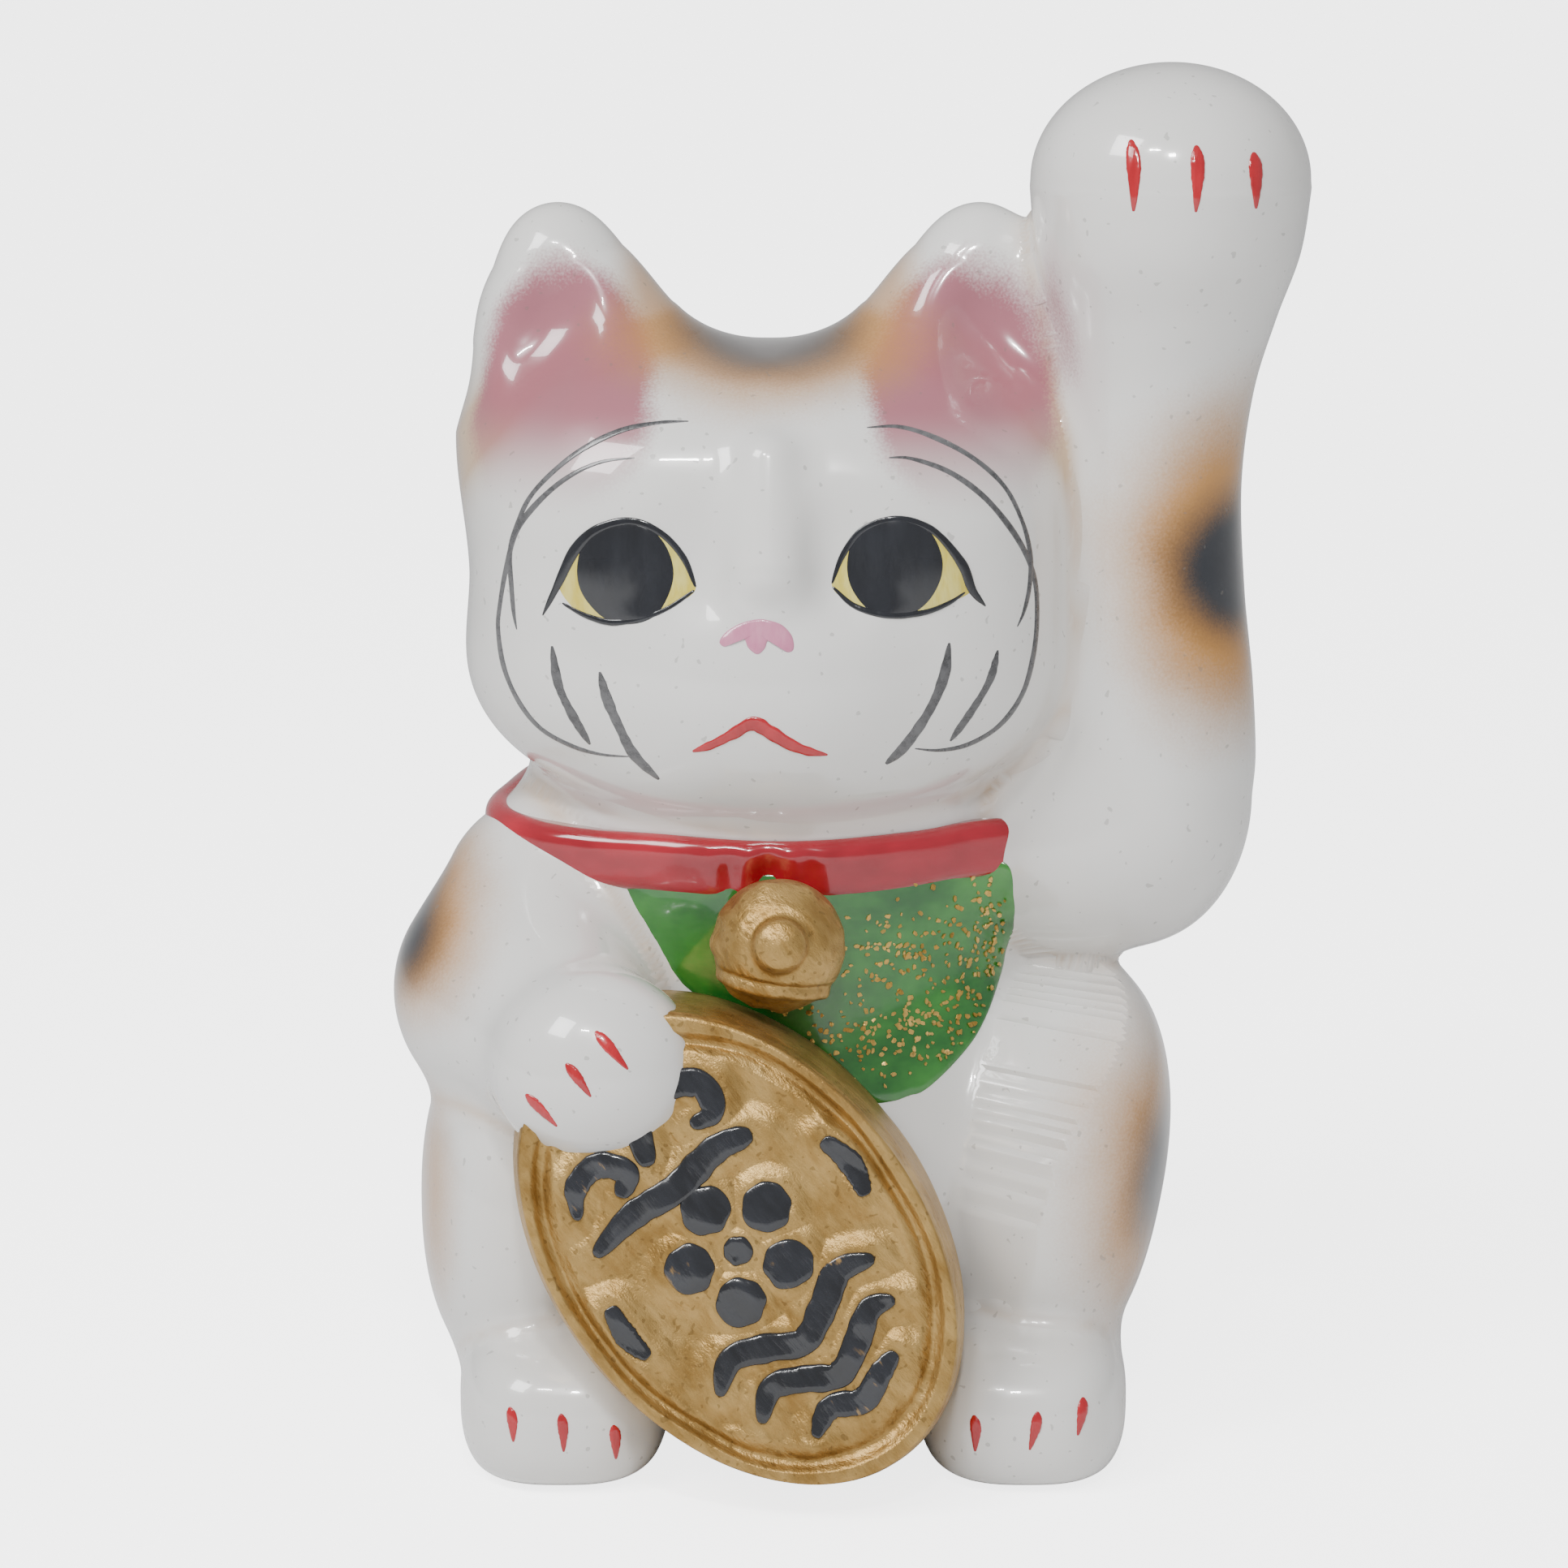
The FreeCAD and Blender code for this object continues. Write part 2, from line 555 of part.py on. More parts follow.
def make_stopper():
    """The rubber stopper: a cupped plug with a flange, turned about its own axis."""
    body = doc.addObject("PartDesign::Body", "base_stopper")
    sketch = sketch_on(body, "XZ_Plane", "stopper_profile")
    corners = [Vector(0, 0.4), Vector(14, 0.4), Vector(14, 2), Vector(12, 2), Vector(12, 9),
               Vector(8, 9), Vector(8, 4), Vector(0, 4)]
    closed_outline(sketch, corners, ("Horizontal", "Vertical"))
    sketch.addConstraint(Sketcher.Constraint("PointOnObject", 0, 1, -2))
    bind_distances(sketch, [
        ("bottom", "DistanceY", (-1, 1, 0, 1), "Sizes.plug_inset"),
        ("flange", "DistanceX", (-1, 1, 1, 1), "Sizes.plug_seat - 0.5"),
        ("flange_top", "DistanceY", (-1, 1, 2, 1), "Sizes.plug_deep - 0.1"),
        ("barrel", "DistanceX", (-1, 1, 4, 1), "Sizes.plug_hole - Sizes.plug_gap"),
        ("top", "DistanceY", (-1, 1, 4, 2), "Sizes.plug_tall"),
        ("cup", "DistanceX", (-1, 1, 6, 1), "Sizes.plug_hole - 4"),
        ("cup_floor", "DistanceY", (-1, 1, 7, 1), "Sizes.plug_deep + 1.6"),
    ])
    turned = body.newObject("PartDesign::Revolution", "stopper_turned")
    turned.Profile = sketch
    turned.ReferenceAxis = (sketch, ["V_Axis"])
    turned.Angle = 360
    body.Tip = turned
    return place(body, "Sizes.plug_out", "Sizes.plug_back", "0")


def failures(pieces):
    """Names every object that did not recompute and every piece that is not one solid."""
    bad = [thing.Name for thing in doc.Objects
           if "Invalid" in thing.State or "Error" in thing.State]
    for piece in pieces:
        shape = piece.Shape
        if shape.isNull() or not shape.isValid() or len(shape.Solids) != 1:
            bad.append(f"{piece.Label} with {len(shape.Solids)} solids")
    return bad


fill_sheet()

# What several pieces are cut with: all that is above the table; the body, the head, the
# raised foreleg and the coin as if they were solid clay; and the foreleg's air hole.
above = place(box("above_table", "300", "300", "300"), "-150", "-150", "0")
body_lump = fuse("body_lump", [torso("torso", "0")] + haunches())
body_full = common("body_full", [body_lump, above])
muzzle = ellipsoid("muzzle", "Sizes.lean_x", "Sizes.muzzle_proud - Sizes.head_deep / 2",
                   "Sizes.muzzle_mid", "Sizes.muzzle_wide / 2", "2 * Sizes.muzzle_proud",
                   "Sizes.muzzle_wide / 3")
head_full = fuse("head_full", [head_block("head_block", "0"), muzzle])
shoulder = sphere("raised_shoulder", "Sizes.shoulder_out", "Sizes.leg_elbow_back",
                  "Sizes.shoulder_mid", "Sizes.shoulder_round")
foreleg_full = fuse("foreleg_full", [foreleg("foreleg", FORELEG, "0"), shoulder])
leg_vent = place(cylinder("leg_vent_hole", "Sizes.leg_vent", "Sizes.leg_vent_long", X_AXIS),
                 "Sizes.leg_vent_out", "Sizes.leg_elbow_back", "Sizes.shoulder_mid")
coin_blank = coin_body("coin_blank")
oval_feature(coin_blank, "Pad", "0", "Sizes.coin_thick")
oval_feature(coin_blank, "Pocket", "Sizes.coin_rim", "Sizes.coin_step")
coin_full = common("coin_full", [coin_blank, above])

body_shell = make_body()
head_shell = make_head()
right_ear = make_ear("right", -1)
left_ear = make_ear("left", 1)
raised_foreleg = make_raised_foreleg()
right_foot = make_foot("right")
left_foot = make_foot("left")
tail = make_tail()
collar = make_collar()
lowered_foreleg = make_lowered_foreleg()
koban_coin = make_coin()
bib = make_bib()
bell = make_bell()
base_stopper = make_stopper()

pieces = [body_shell, head_shell, right_ear, left_ear, raised_foreleg, lowered_foreleg,
          right_foot, left_foot, tail, collar, bib, bell, koban_coin, base_stopper]
doc.recompute()
problems = failures(pieces)
if problems:
    raise RuntimeError("not built: " + ", ".join(problems))

os.makedirs(PARTS, exist_ok=True)
for piece in pieces:
    piece.Shape.exportStep(f"{PARTS}/{piece.Label}.step")
    print(f"{piece.Label}: {piece.Shape.Volume / 1000:.1f} cm3")
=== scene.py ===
"""The looks of a glazed ceramic beckoning cat that is also a money bank.

Every pottery piece is a closed surface of its own.  The pieces share one modelled form, in
which neighbouring lumps of clay run into each other with a soft fillet, as slip and glaze
leave them.  Paint, flakes and gilding are thin bodies that lie on that form.

Lengths here are in millimetres and become metres when a mesh is made.  The cat faces -Y.
"""

import logging
import math
from abc import ABC, abstractmethod
from dataclasses import dataclass
from enum import Enum
from functools import cache
from typing import Callable, Sequence

import bpy
import numpy as np
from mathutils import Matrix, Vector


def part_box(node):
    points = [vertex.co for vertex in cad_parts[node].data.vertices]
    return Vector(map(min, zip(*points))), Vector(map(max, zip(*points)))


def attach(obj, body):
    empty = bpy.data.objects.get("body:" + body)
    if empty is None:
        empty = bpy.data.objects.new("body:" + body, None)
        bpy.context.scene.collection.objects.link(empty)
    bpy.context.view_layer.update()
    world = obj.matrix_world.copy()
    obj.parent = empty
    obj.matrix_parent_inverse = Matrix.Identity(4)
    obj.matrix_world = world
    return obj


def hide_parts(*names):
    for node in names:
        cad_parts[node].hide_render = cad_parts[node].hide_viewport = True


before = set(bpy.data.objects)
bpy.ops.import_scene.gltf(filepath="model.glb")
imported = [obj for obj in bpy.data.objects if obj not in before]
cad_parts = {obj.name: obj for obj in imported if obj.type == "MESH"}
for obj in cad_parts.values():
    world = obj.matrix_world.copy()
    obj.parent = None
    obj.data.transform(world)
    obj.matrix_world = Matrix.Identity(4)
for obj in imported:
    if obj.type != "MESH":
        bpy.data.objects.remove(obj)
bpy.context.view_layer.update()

LOG = logging.getLogger("cat")
METRE = 0.001
FIGURINE = "figurine"
STOPPER = "stopper"

Array = np.ndarray
Triple = tuple[float, float, float]
Away = Callable[[Array], Array]


class Slot(Enum):
    """The record's material slots."""

    WHITE = "white_glaze"
    RED = "red_enamel"
    GREEN = "green_enamel"
    GOLD = "gold_paint"
    RUBBER = "stopper_rubber"


# ---------------------------------------------------------------- numbers and curves


@cache
def node_box(node: str) -> tuple[Array, Array]:
    """Gives a node's lowest and highest corners in millimetres."""
    low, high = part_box(node)
    return np.array(low) / METRE, np.array(high) / METRE


def unit(vectors: Array) -> Array:
    """Scales each vector to length one."""
    return vectors / np.maximum(np.linalg.norm(vectors, axis=-1, keepdims=True), 1e-12)


def ramp(values: Array, start: float, end: float) -> Array:
    """Rises from 0 at start to 1 at end, level at both: 3t^2 - 2t^3."""
    share = np.clip((values - start) / (end - start), 0.0, 1.0)
    return share * share * (3.0 - 2.0 * share)


def spline(points: Sequence[Sequence[float]], count: int, closed: bool = False) -> Array:
    """Samples a Catmull-Rom curve, the cubic through each point whose slope there is half
    the step between its neighbours.

    Args:
        points: the points that the curve passes through.
        count: how many samples to take.
        closed: whether the curve returns to its first point.

    Returns:
        The samples, one row each.
    """
    knots = np.asarray(points, float)
    total = len(knots)
    if closed:
        place = np.linspace(0.0, total, count, endpoint=False)
        index = np.floor(place).astype(int)
        rows = [knots[(index + shift) % total] for shift in (-1, 0, 1, 2)]
    else:
        padded = np.vstack([2 * knots[0] - knots[1], knots, 2 * knots[-1] - knots[-2]])
        place = np.linspace(0.0, total - 1.0, count)
        index = np.minimum(np.floor(place).astype(int), total - 2)
        rows = [padded[index + shift] for shift in range(4)]
    t = (place - index)[:, None]
    before, first, second, after = rows
    return 0.5 * (
        2 * first
        + (second - before) * t
        + (2 * before - 5 * first + 4 * second - after) * t**2
        + (3 * first - before - 3 * second + after) * t**3
    )


def ripple(values: Array, seed: int, lowest: int, waves: int) -> Array:
    """Adds up a few sine waves of seeded phase, for an uneven hand-made edge.

    Args:
        values: angles in radians.
        seed: picks the phases.
        lowest: the slowest wave's count per turn.
        waves: how many waves there are.

    Returns:
        A sum between about -1 and 1.
    """
    phases = np.random.default_rng(seed).uniform(0.0, 2 * math.pi, waves)
    orders = lowest + np.arange(waves)
    return np.sin(values[..., None] * orders + phases).sum(-1) / math.sqrt(2 * waves)


def smooth_min(first: Array, second: Array, blend: float) -> Array:
    """Takes the smaller of two distances, rounding the corner where they cross: less
    h^2 * blend / 4, where h falls from 1 at the crossing to 0 a blend away."""
    share = np.maximum(blend - np.abs(first - second), 0.0) / blend
    return np.minimum(first, second) - share * share * blend / 4.0


def smooth_max(first: Array, second: Array, blend: float) -> Array:
    """Takes the larger of two distances, rounding the corner where they cross."""
    return -smooth_min(-first, -second, blend)


def turned(about_x: float, about_y: float) -> Array:
    """Gives the matrix whose rows are the axes of a lump that is turned about Y, then X."""
    cx, sx = math.cos(math.radians(about_x)), math.sin(math.radians(about_x))
    cy, sy = math.cos(math.radians(about_y)), math.sin(math.radians(about_y))
    around_x = np.array([[1, 0, 0], [0, cx, -sx], [0, sx, cx]])
    around_y = np.array([[cy, 0, sy], [0, 1, 0], [-sy, 0, cy]])
    return (around_x @ around_y).T


# ---------------------------------------------------------------- lumps of clay


@dataclass(frozen=True)
class Egg:
    """A rounded lump: the points where |x/a|^n + |y/b|^n + |z/c|^n is less than 1.

    A power n of 2 is an ellipsoid, and a larger power is boxier.
    """

    mid: Triple
    half: Triple
    power: float = 2.0
    about_x: float = 0.0
    about_y: float = 0.0

    def away(self, points: Array) -> Array:
        """Gives each point's rough distance from the surface, negative inside: the
        norm less 1, over the norm's slope."""
        offset = points - np.array(self.mid)
        if self.about_x or self.about_y:
            offset = offset @ turned(self.about_x, self.about_y).T
        half = np.array(self.half)
        ratio = np.abs(offset) / half + 1e-6
        if self.power == 2.0:
            norm = np.sqrt((ratio**2).sum(-1))
            slope = np.sqrt(((ratio / half) ** 2).sum(-1)) / norm
            return (norm - 1.0) / slope
        norm = (ratio**self.power).sum(-1) ** (1.0 / self.power)
        slope = np.linalg.norm(ratio ** (self.power - 1) / half, axis=-1)
        slope = slope * norm ** (1.0 - self.power)
        return (norm - 1.0) / slope * np.minimum(1.0, 0.3 + norm)


@dataclass(frozen=True)
class Taper:
    """A straight limb between two balls: at a share t of the way, a ball of the mixed
    radius."""

    start: Triple
    end: Triple
    start_radius: float
    end_radius: float

    def away(self, points: Array) -> Array:
        """Gives each point's distance from the limb, negative inside."""
        start, span = np.array(self.start), np.array(self.end) - np.array(self.start)
        share = np.clip((points - start) @ span / (span @ span), 0.0, 1.0)
        nearest = start + share[:, None] * span
        radius = self.start_radius + (self.end_radius - self.start_radius) * share
        return np.linalg.norm(points - nearest, axis=-1) - radius


@dataclass(frozen=True)
class Column:
    """An upright limb whose level sections are circles about a winding middle.

    Beyond its first and last sections it closes with half eggs of the given reach.
    """

    rows: tuple[tuple[float, float, float, float], ...]
    reach_below: float
    reach_above: float

    def away(self, points: Array) -> Array:
        """Gives each point's rough distance: the level distance from the middle less the
        radius, shortened by the wall's slope."""
        table = spline(self.rows, 240)
        heights = table[:, 0]
        z = points[:, 2]
        inside = np.clip(z, heights[0], heights[-1])
        middle = [np.interp(inside, heights, table[:, column]) for column in (1, 2)]
        radius = np.interp(inside, heights, table[:, 3])
        slope = np.interp(inside, heights, np.gradient(table[:, 3], heights))
        below = np.maximum(heights[0] - z, 0.0) * table[0, 3] / self.reach_below
        above = np.maximum(z - heights[-1], 0.0) * table[-1, 3] / self.reach_above
        level = np.hypot(points[:, 0] - middle[0], points[:, 1] - middle[1])
        full = np.sqrt(level**2 + below**2 + above**2)
        return (full - radius) / np.sqrt(1.0 + slope**2)


@dataclass(frozen=True)
class Grid:
    """How a closed surface is laid out: rows in each rounded end, rows between, columns."""

    cap: int
    run: int
    around: int


class Lump(ABC):
    """One pottery piece: its clay, and the core that its surface is cast out from."""

    name: str
    node: str
    blend: float
    grid: Grid
    rest: float = 3.0
    axis: Triple = (0.0, 0.0, 1.0)

    @abstractmethod
    def clay(self, points: Array) -> Array:
        """Gives the distance from the piece's own clay."""

    @abstractmethod
    def core(self) -> Array:
        """Gives the line inside the piece that rays leave from."""

    def away(self, points: Array) -> Array:
        """Gives the distance from the clay, or from its box where that is far off."""
        low, high = node_box(self.node)
        gap = np.linalg.norm(np.maximum(np.maximum(low - points, points - high), 0.0), axis=-1)
        near = gap < 18.0
        gap[near] = self.clay(points[near])
        return gap


@dataclass
class Torso(Lump):
    """The seated body with its two haunches."""

    name: str = "body_glaze"
    node: str = "body_shell"
    blend: float = 5.0
    grid: Grid = Grid(70, 60, 380)
    rest: float = 3.2

    def clay(self, points: Array) -> Array:
        """Joins the belly, the chest and the haunches."""
        belly = Egg((1.5, 9.0, 34.0), (49.0, 39.0, 46.0), 2.4).away(points)
        chest = Egg((-1.5, 4.0, 88.0), (40.0, 32.0, 34.0)).away(points)
        both = smooth_min(belly, chest, 16.0)
        right = Egg((-39.1, -8.0, 35.2), (16.5, 31.0, 29.0), 2.3).away(points)
        left = Egg((43.4, -8.0, 39.0), (16.2, 31.0, 32.0), 2.3, about_y=10.0).away(points)
        return smooth_min(smooth_min(both, right, 7.0), left, 7.0)

    def core(self) -> Array:
        """Runs up the middle of the belly."""
        return np.array([(1.5, 4.0, 26.0), (0.0, 4.0, 70.0)])


@dataclass
class Head(Lump):
    """The head with its jaw, its muzzle and the ridge of its nose."""

    name: str = "head_glaze"
    node: str = "head_shell"
    blend: float = 5.0
    grid: Grid = Grid(110, 0, 420)
    rest: float = 4.2

    def clay(self, points: Array) -> Array:
        """Joins the skull and jaw, adds the muzzle and the ridge, presses in the eyes."""
        low, high = node_box(self.node)
        mid_x = (low[0] + high[0]) / 2
        half_x = (high[0] - low[0]) / 2
        top = high[2] + 1.5
        skull = Egg((mid_x, 0.0, top - 34.5), (half_x, 36.0, 34.5), 2.9).away(points)
        jaw = Egg((mid_x, -6.0, 118.5), (half_x - 2.1, 30.0, 20.5)).away(points)
        chin = Egg((mid_x, -14.0, 110.0), (26.0, 20.5, 13.0)).away(points)
        form = smooth_min(smooth_min(skull, jaw, 8.0), chin, 10.0)
        muzzle = Egg((mid_x, -31.0, 122.0), (15.0, 7.5, 10.0)).away(points)
        form = smooth_min(form, muzzle, 10.0)
        for side in (-1, 1):
            socket = Egg((mid_x + side * 11.5, -41.5, 141.0), (6.0, 5.2, 9.0)).away(points)
            form = smooth_max(form, -socket, 6.0)
        ridge = Taper((mid_x, -33.0, 153.0), (mid_x, -36.5, 138.0), 2.2, 4.0).away(points)
        return smooth_min(form, ridge, 7.0)

    def core(self) -> Array:
        """The middle of the head."""
        return np.array([(-1.6, -2.0, 131.0)])


@dataclass
class Ear(Lump):
    """One ear: a blunt cone of clay with a shallow hollow pressed into its front."""

    side: int = 1
    blend: float = 14.0
    grid: Grid = Grid(64, 14, 200)
    rest: float = 4.6

    def __post_init__(self) -> None:
        """Names the ear after its side."""
        self.name = "left_ear_glaze" if self.side > 0 else "right_ear_glaze"
        self.node = "left_ear" if self.side > 0 else "right_ear"

    def rows(self) -> list[tuple[Triple, float]]:
        """Gives the middles and radii from the root to the tip."""
        mid_x = -1.5
        return [
            ((mid_x + self.side * 27.6, -1.0, 157.7), 18.6),
            ((mid_x + self.side * 30.2, -1.0, 169.6), 13.6),
            ((mid_x + self.side * 31.9, -1.0, 179.8), 8.1),
        ]

    def clay(self, points: Array) -> Array:
        """Joins two tapers, thinner from front to back, and hollows the front."""
        thin = points.copy()
        thin[:, 1] = -1.0 + (points[:, 1] + 1.0) / 0.86
        (root, r0), (waist, r1), (tip, r2) = self.rows()
        lower = Taper(root, waist, r0, r1).away(thin)
        upper = Taper(waist, tip, r1, r2).away(thin)
        form = smooth_min(lower, upper, 5.0)
        dish = Egg((-1.5 + self.side * 34.5, -25.5, 167.0), (14.5, 16.0, 25.0), 2.0, -13.0,
                   self.side * -7.0).away(points)
        return smooth_max(form, -dish, 3.2)

    def core(self) -> Array:
        """Runs up the ear."""
        (root, _), (waist, _), _ = self.rows()
        return np.array([root, waist]) + np.array([0.0, 2.0, 0.0])


@dataclass
class RaisedForeleg(Lump):
    """The raised left foreleg from its shoulder and elbow to its round paw."""

    name: str = "raised_foreleg_glaze"
    node: str = "raised_foreleg"
    blend: float = 6.0
    grid: Grid = Grid(60, 130, 260)
    rest: float = 2.4

    def rows(self) -> tuple[tuple[float, float, float, float], ...]:
        """Gives heights, middles and radii up the limb; both ends are widest points."""
        return (
            (97.0, 55.2, -3.0, 17.9),
            (104.0, 55.9, -3.2, 17.6),
            (116.0, 56.4, -3.8, 16.3),
            (130.0, 56.1, -4.4, 15.0),
            (146.0, 56.1, -5.0, 14.2),
            (160.0, 56.9, -6.2, 14.8),
            (171.0, 57.6, -7.8, 17.0),
            (181.0, 58.1, -9.8, 19.7),
            (190.0, 58.2, -11.0, 20.8),
            (192.0, 58.2, -11.0, 20.8),
        )

    def clay(self, points: Array) -> Array:
        """Joins the limb and the shoulder."""
        limb = Column(self.rows(), 23.5, 17.3).away(points)
        shoulder = Egg((43.0, -3.0, 90.0), (16.0, 16.0, 16.0)).away(points)
        return smooth_min(limb, shoulder, 8.0)

    def core(self) -> Array:
        """Runs up the middle of the limb."""
        return np.array([(53.5, -3.0, 94.0), (56.3, -3.6, 116.0), (56.1, -5.0, 146.0),
                         (57.6, -7.8, 171.0), (58.2, -11.0, 190.0)])


@dataclass
class LoweredForeleg(Lump):
    """The right foreleg: shoulder, elbow and the paw that holds the coin."""

    name: str = "lowered_foreleg_glaze"
    node: str = "lowered_foreleg"
    blend: float = 6.0
    grid: Grid = Grid(80, 80, 330)
    rest: float = 2.6
    axis: Triple = (0.35, -0.85, -0.4)

    def clay(self, points: Array) -> Array:
        """Joins the upper limb, the forearm and the paw."""
        upper = Taper((-34.9, -6.0, 80.4), (-39.8, -14.0, 70.1), 17.3, 17.8).away(points)
        fore = Taper((-38.3, -20.0, 68.2), (-27.5, -41.0, 64.6), 15.8, 13.6).away(points)
        paw = Egg((-26.6, -45.0, 64.6), (14.4, 11.0, 13.0)).away(points)
        return smooth_min(upper, smooth_min(fore, paw, 6.0), 12.0)

    def core(self) -> Array:
        """Runs from the shoulder to the paw."""
        return np.array([(-36.0, -8.0, 76.0), (-38.0, -18.0, 68.8), (-28.5, -40.0, 64.8)])


@dataclass
class HindFoot(Lump):
    """One hind foot, a rounded block of clay that is flat where it stands."""

    side: int = 1
    blend: float = 4.0
    grid: Grid = Grid(60, 0, 200)
    rest: float = 2.2

    def __post_init__(self) -> None:
        """Names the foot after its side."""
        self.name = "left_foot_glaze" if self.side > 0 else "right_foot_glaze"
        self.node = "left_hind_foot" if self.side > 0 else "right_hind_foot"

    def clay(self, points: Array) -> Array:
        """The foot's block."""
        low, high = node_box(self.node)
        mid_x, half_x = (low[0] + high[0]) / 2, (high[0] - low[0]) / 2
        return Egg((mid_x, low[1] + 25.0, 9.5), (half_x, 25.0, 13.0), 2.8).away(points)

    def core(self) -> Array:
        """A point low in the foot."""
        low, high = node_box(self.node)
        return np.array([((low[0] + high[0]) / 2, low[1] + 23.0, 7.0)])


@dataclass
class Tail(Lump):
    """The bobtail, low on the back."""

    name: str = "tail_glaze"
    node: str = "tail"
    blend: float = 6.0
    grid: Grid = Grid(40, 0, 120)
    rest: float = 2.6

    def clay(self, points: Array) -> Array:
        """A single upright egg."""
        return Egg((1.5, 45.5, 24.0), (11.0, 11.0, 14.0)).away(points)

    def core(self) -> Array:
        """The middle of the tail."""
        return np.array([(1.5, 46.0, 24.0)])


class Figurine:
    """All the clay together, with its fillets, standing on the table."""

    def __init__(self) -> None:
        """Sets out the lumps in the order in which they are joined."""
        self.torso = Torso()
        self.lumps: list[Lump] = [
            Head(), Ear(side=-1), Ear(side=1), self.torso, HindFoot(side=-1),
            HindFoot(side=1), RaisedForeleg(), LoweredForeleg(), Tail(),
        ]

    def without(self, left_out: str, points: Array) -> Array:
        """Gives each point's distance from the glazed surface with one lump left out."""
        total = np.full(len(points), 99.0)
        for lump in self.lumps:
            if lump.name != left_out:
                total = smooth_min(total, lump.away(points), lump.blend)
        return smooth_max(total, -points[:, 2], 2.0)

    def away(self, points: Array) -> Array:
        """Gives each point's distance from the glazed surface, negative inside."""
        return self.without("", points)

    def piece_away(self, lump: Lump) -> Away:
        """Gives the distance function of one piece.

        It is the whole figurine's, plus q^2 * 1.6 / (q + 2), where q is how far a point is
        beyond the rest distance from the piece's own clay.  So the piece has the shared
        surface near its own clay, and dips under its neighbour further off.
        """

        def away(points: Array) -> Array:
            beyond = np.maximum(lump.away(points) - lump.rest, 0.0)
            return self.away(points) + 1.6 * beyond**2 / (beyond + 2.0)

        return away


def cast(away: Away, starts: Array, ways: Array) -> Array:
    """Finds where rays leave a body.

    Each ray steps outwards by its distance to the surface, between 0.3 and 5 mm, until it
    is outside, and the last step is then halved ten times.

    Args:
        away: the body's distance function.
        starts: where the rays start, inside the body.
        ways: their directions, of length one.

    Returns:
        The points on the surface.
    """
    inner = np.zeros(len(starts))
    outer = np.zeros(len(starts))
    active = np.arange(len(starts))
    for _ in range(60):
        gap = away(starts[active] + ways[active] * outer[active, None])
        inside = gap < 0.0
        active = active[inside]
        if not len(active):
            break
        inner[active] = outer[active]
        outer[active] += np.clip(-gap[inside], 0.3, 5.0)
    for _ in range(10):
        middle = (inner + outer) / 2
        inside = away(starts + ways * middle[:, None]) < 0.0
        inner = np.where(inside, middle, inner)
        outer = np.where(inside, outer, middle)
    return starts + ways * ((inner + outer) / 2)[:, None]


def piece_surface(figurine: Figurine, lump: Lump) -> Array:
    """Casts one pottery piece's surface onto a grid.

    The rows turn from one pole to the level, run along the core, and turn to the other
    pole; the columns go round.  A row's rays leave the core at its elevation.

    Args:
        figurine: the whole form.
        lump: the piece.

    Returns:
        Points by row and column; the first row and the last are one point each.
    """
    axis = unit(np.array(lump.axis))
    across = unit(np.cross(axis, (0.0, 1.0, 0.0) if abs(axis[1]) < 0.8 else (1.0, 0.0, 0.0)))
    deep = np.cross(axis, across)
    low = np.linspace(-math.pi / 2, 0.0, lump.grid.cap, endpoint=False)
    high = np.linspace(0.0, math.pi / 2, lump.grid.cap + 2)[1 if lump.grid.run else 0:]
    elevation = np.concatenate([low, np.zeros(lump.grid.run), high])
    line = lump.core()
    if len(line) > 1:
        walk = np.concatenate([np.zeros(lump.grid.cap), np.linspace(0, 1, lump.grid.run),
                               np.ones(lump.grid.cap + 1)])
        dense = spline(line, 200)
        starts = np.stack([np.interp(walk, np.linspace(0, 1, 200), dense[:, k])
                           for k in range(3)], -1)
    else:
        starts = np.repeat(line, len(elevation), axis=0)
    turn = np.linspace(0.0, 2 * math.pi, lump.grid.around, endpoint=False)
    level = np.cos(turn)[:, None] * across + np.sin(turn)[:, None] * deep
    ways = np.cos(elevation)[:, None, None] * level + np.sin(elevation)[:, None, None] * axis
    origins = np.broadcast_to(starts[:, None, :], ways.shape)
    found = cast(figurine.piece_away(lump), origins.reshape(-1, 3), ways.reshape(-1, 3))
    return found.reshape(ways.shape)


# ---------------------------------------------------------------- meshes


def closed_faces(rows: int, columns: int, poles: bool) -> tuple[Array, list[Array]]:
    """Lays out the faces of a closed grid, whose columns always go round.

    Args:
        rows: how many rows the grid has.
        columns: how many columns it has.
        poles: whether the first and last rows are single points; otherwise the last row
            joins the first, as on a ring.

    Returns:
        Which grid points are kept as vertices, and blocks of faces over those vertices.
    """
    index = np.arange(rows * columns).reshape(rows, columns)
    following = np.roll(index, -1, axis=1)
    if not poles:
        above, above_next = np.roll(index, -1, axis=0), np.roll(following, -1, axis=0)
        return index.ravel(), [np.stack([index, following, above_next, above], -1).reshape(-1, 4)]
    quads = np.stack([index[1:-2], following[1:-2], following[2:-1], index[2:-1]], -1)
    first = np.stack([np.zeros(columns, int), following[1], index[1]], -1)
    last = np.stack([np.full(columns, index[-1, 0]), index[-2], following[-2]], -1)
    kept = np.concatenate([[0], index[1:-1].ravel(), [index[-1, 0]]])
    place = np.zeros(rows * columns, int)
    place[kept] = np.arange(len(kept))
    return kept, [place[block] for block in (quads.reshape(-1, 4), first, last)]


def volume(points: Array, blocks: list[Array]) -> float:
    """Adds up each face's fan of triangles, as the signed volume they close with the
    origin; it is negative where the faces point inwards."""
    total = 0.0
    for block in blocks:
        for corner in range(1, block.shape[1] - 1):
            a, b, c = points[block[:, 0]], points[block[:, corner]], points[block[:, corner + 1]]
            total += float(np.einsum("ij,ij->", a, np.cross(b, c))) / 6.0
    return total


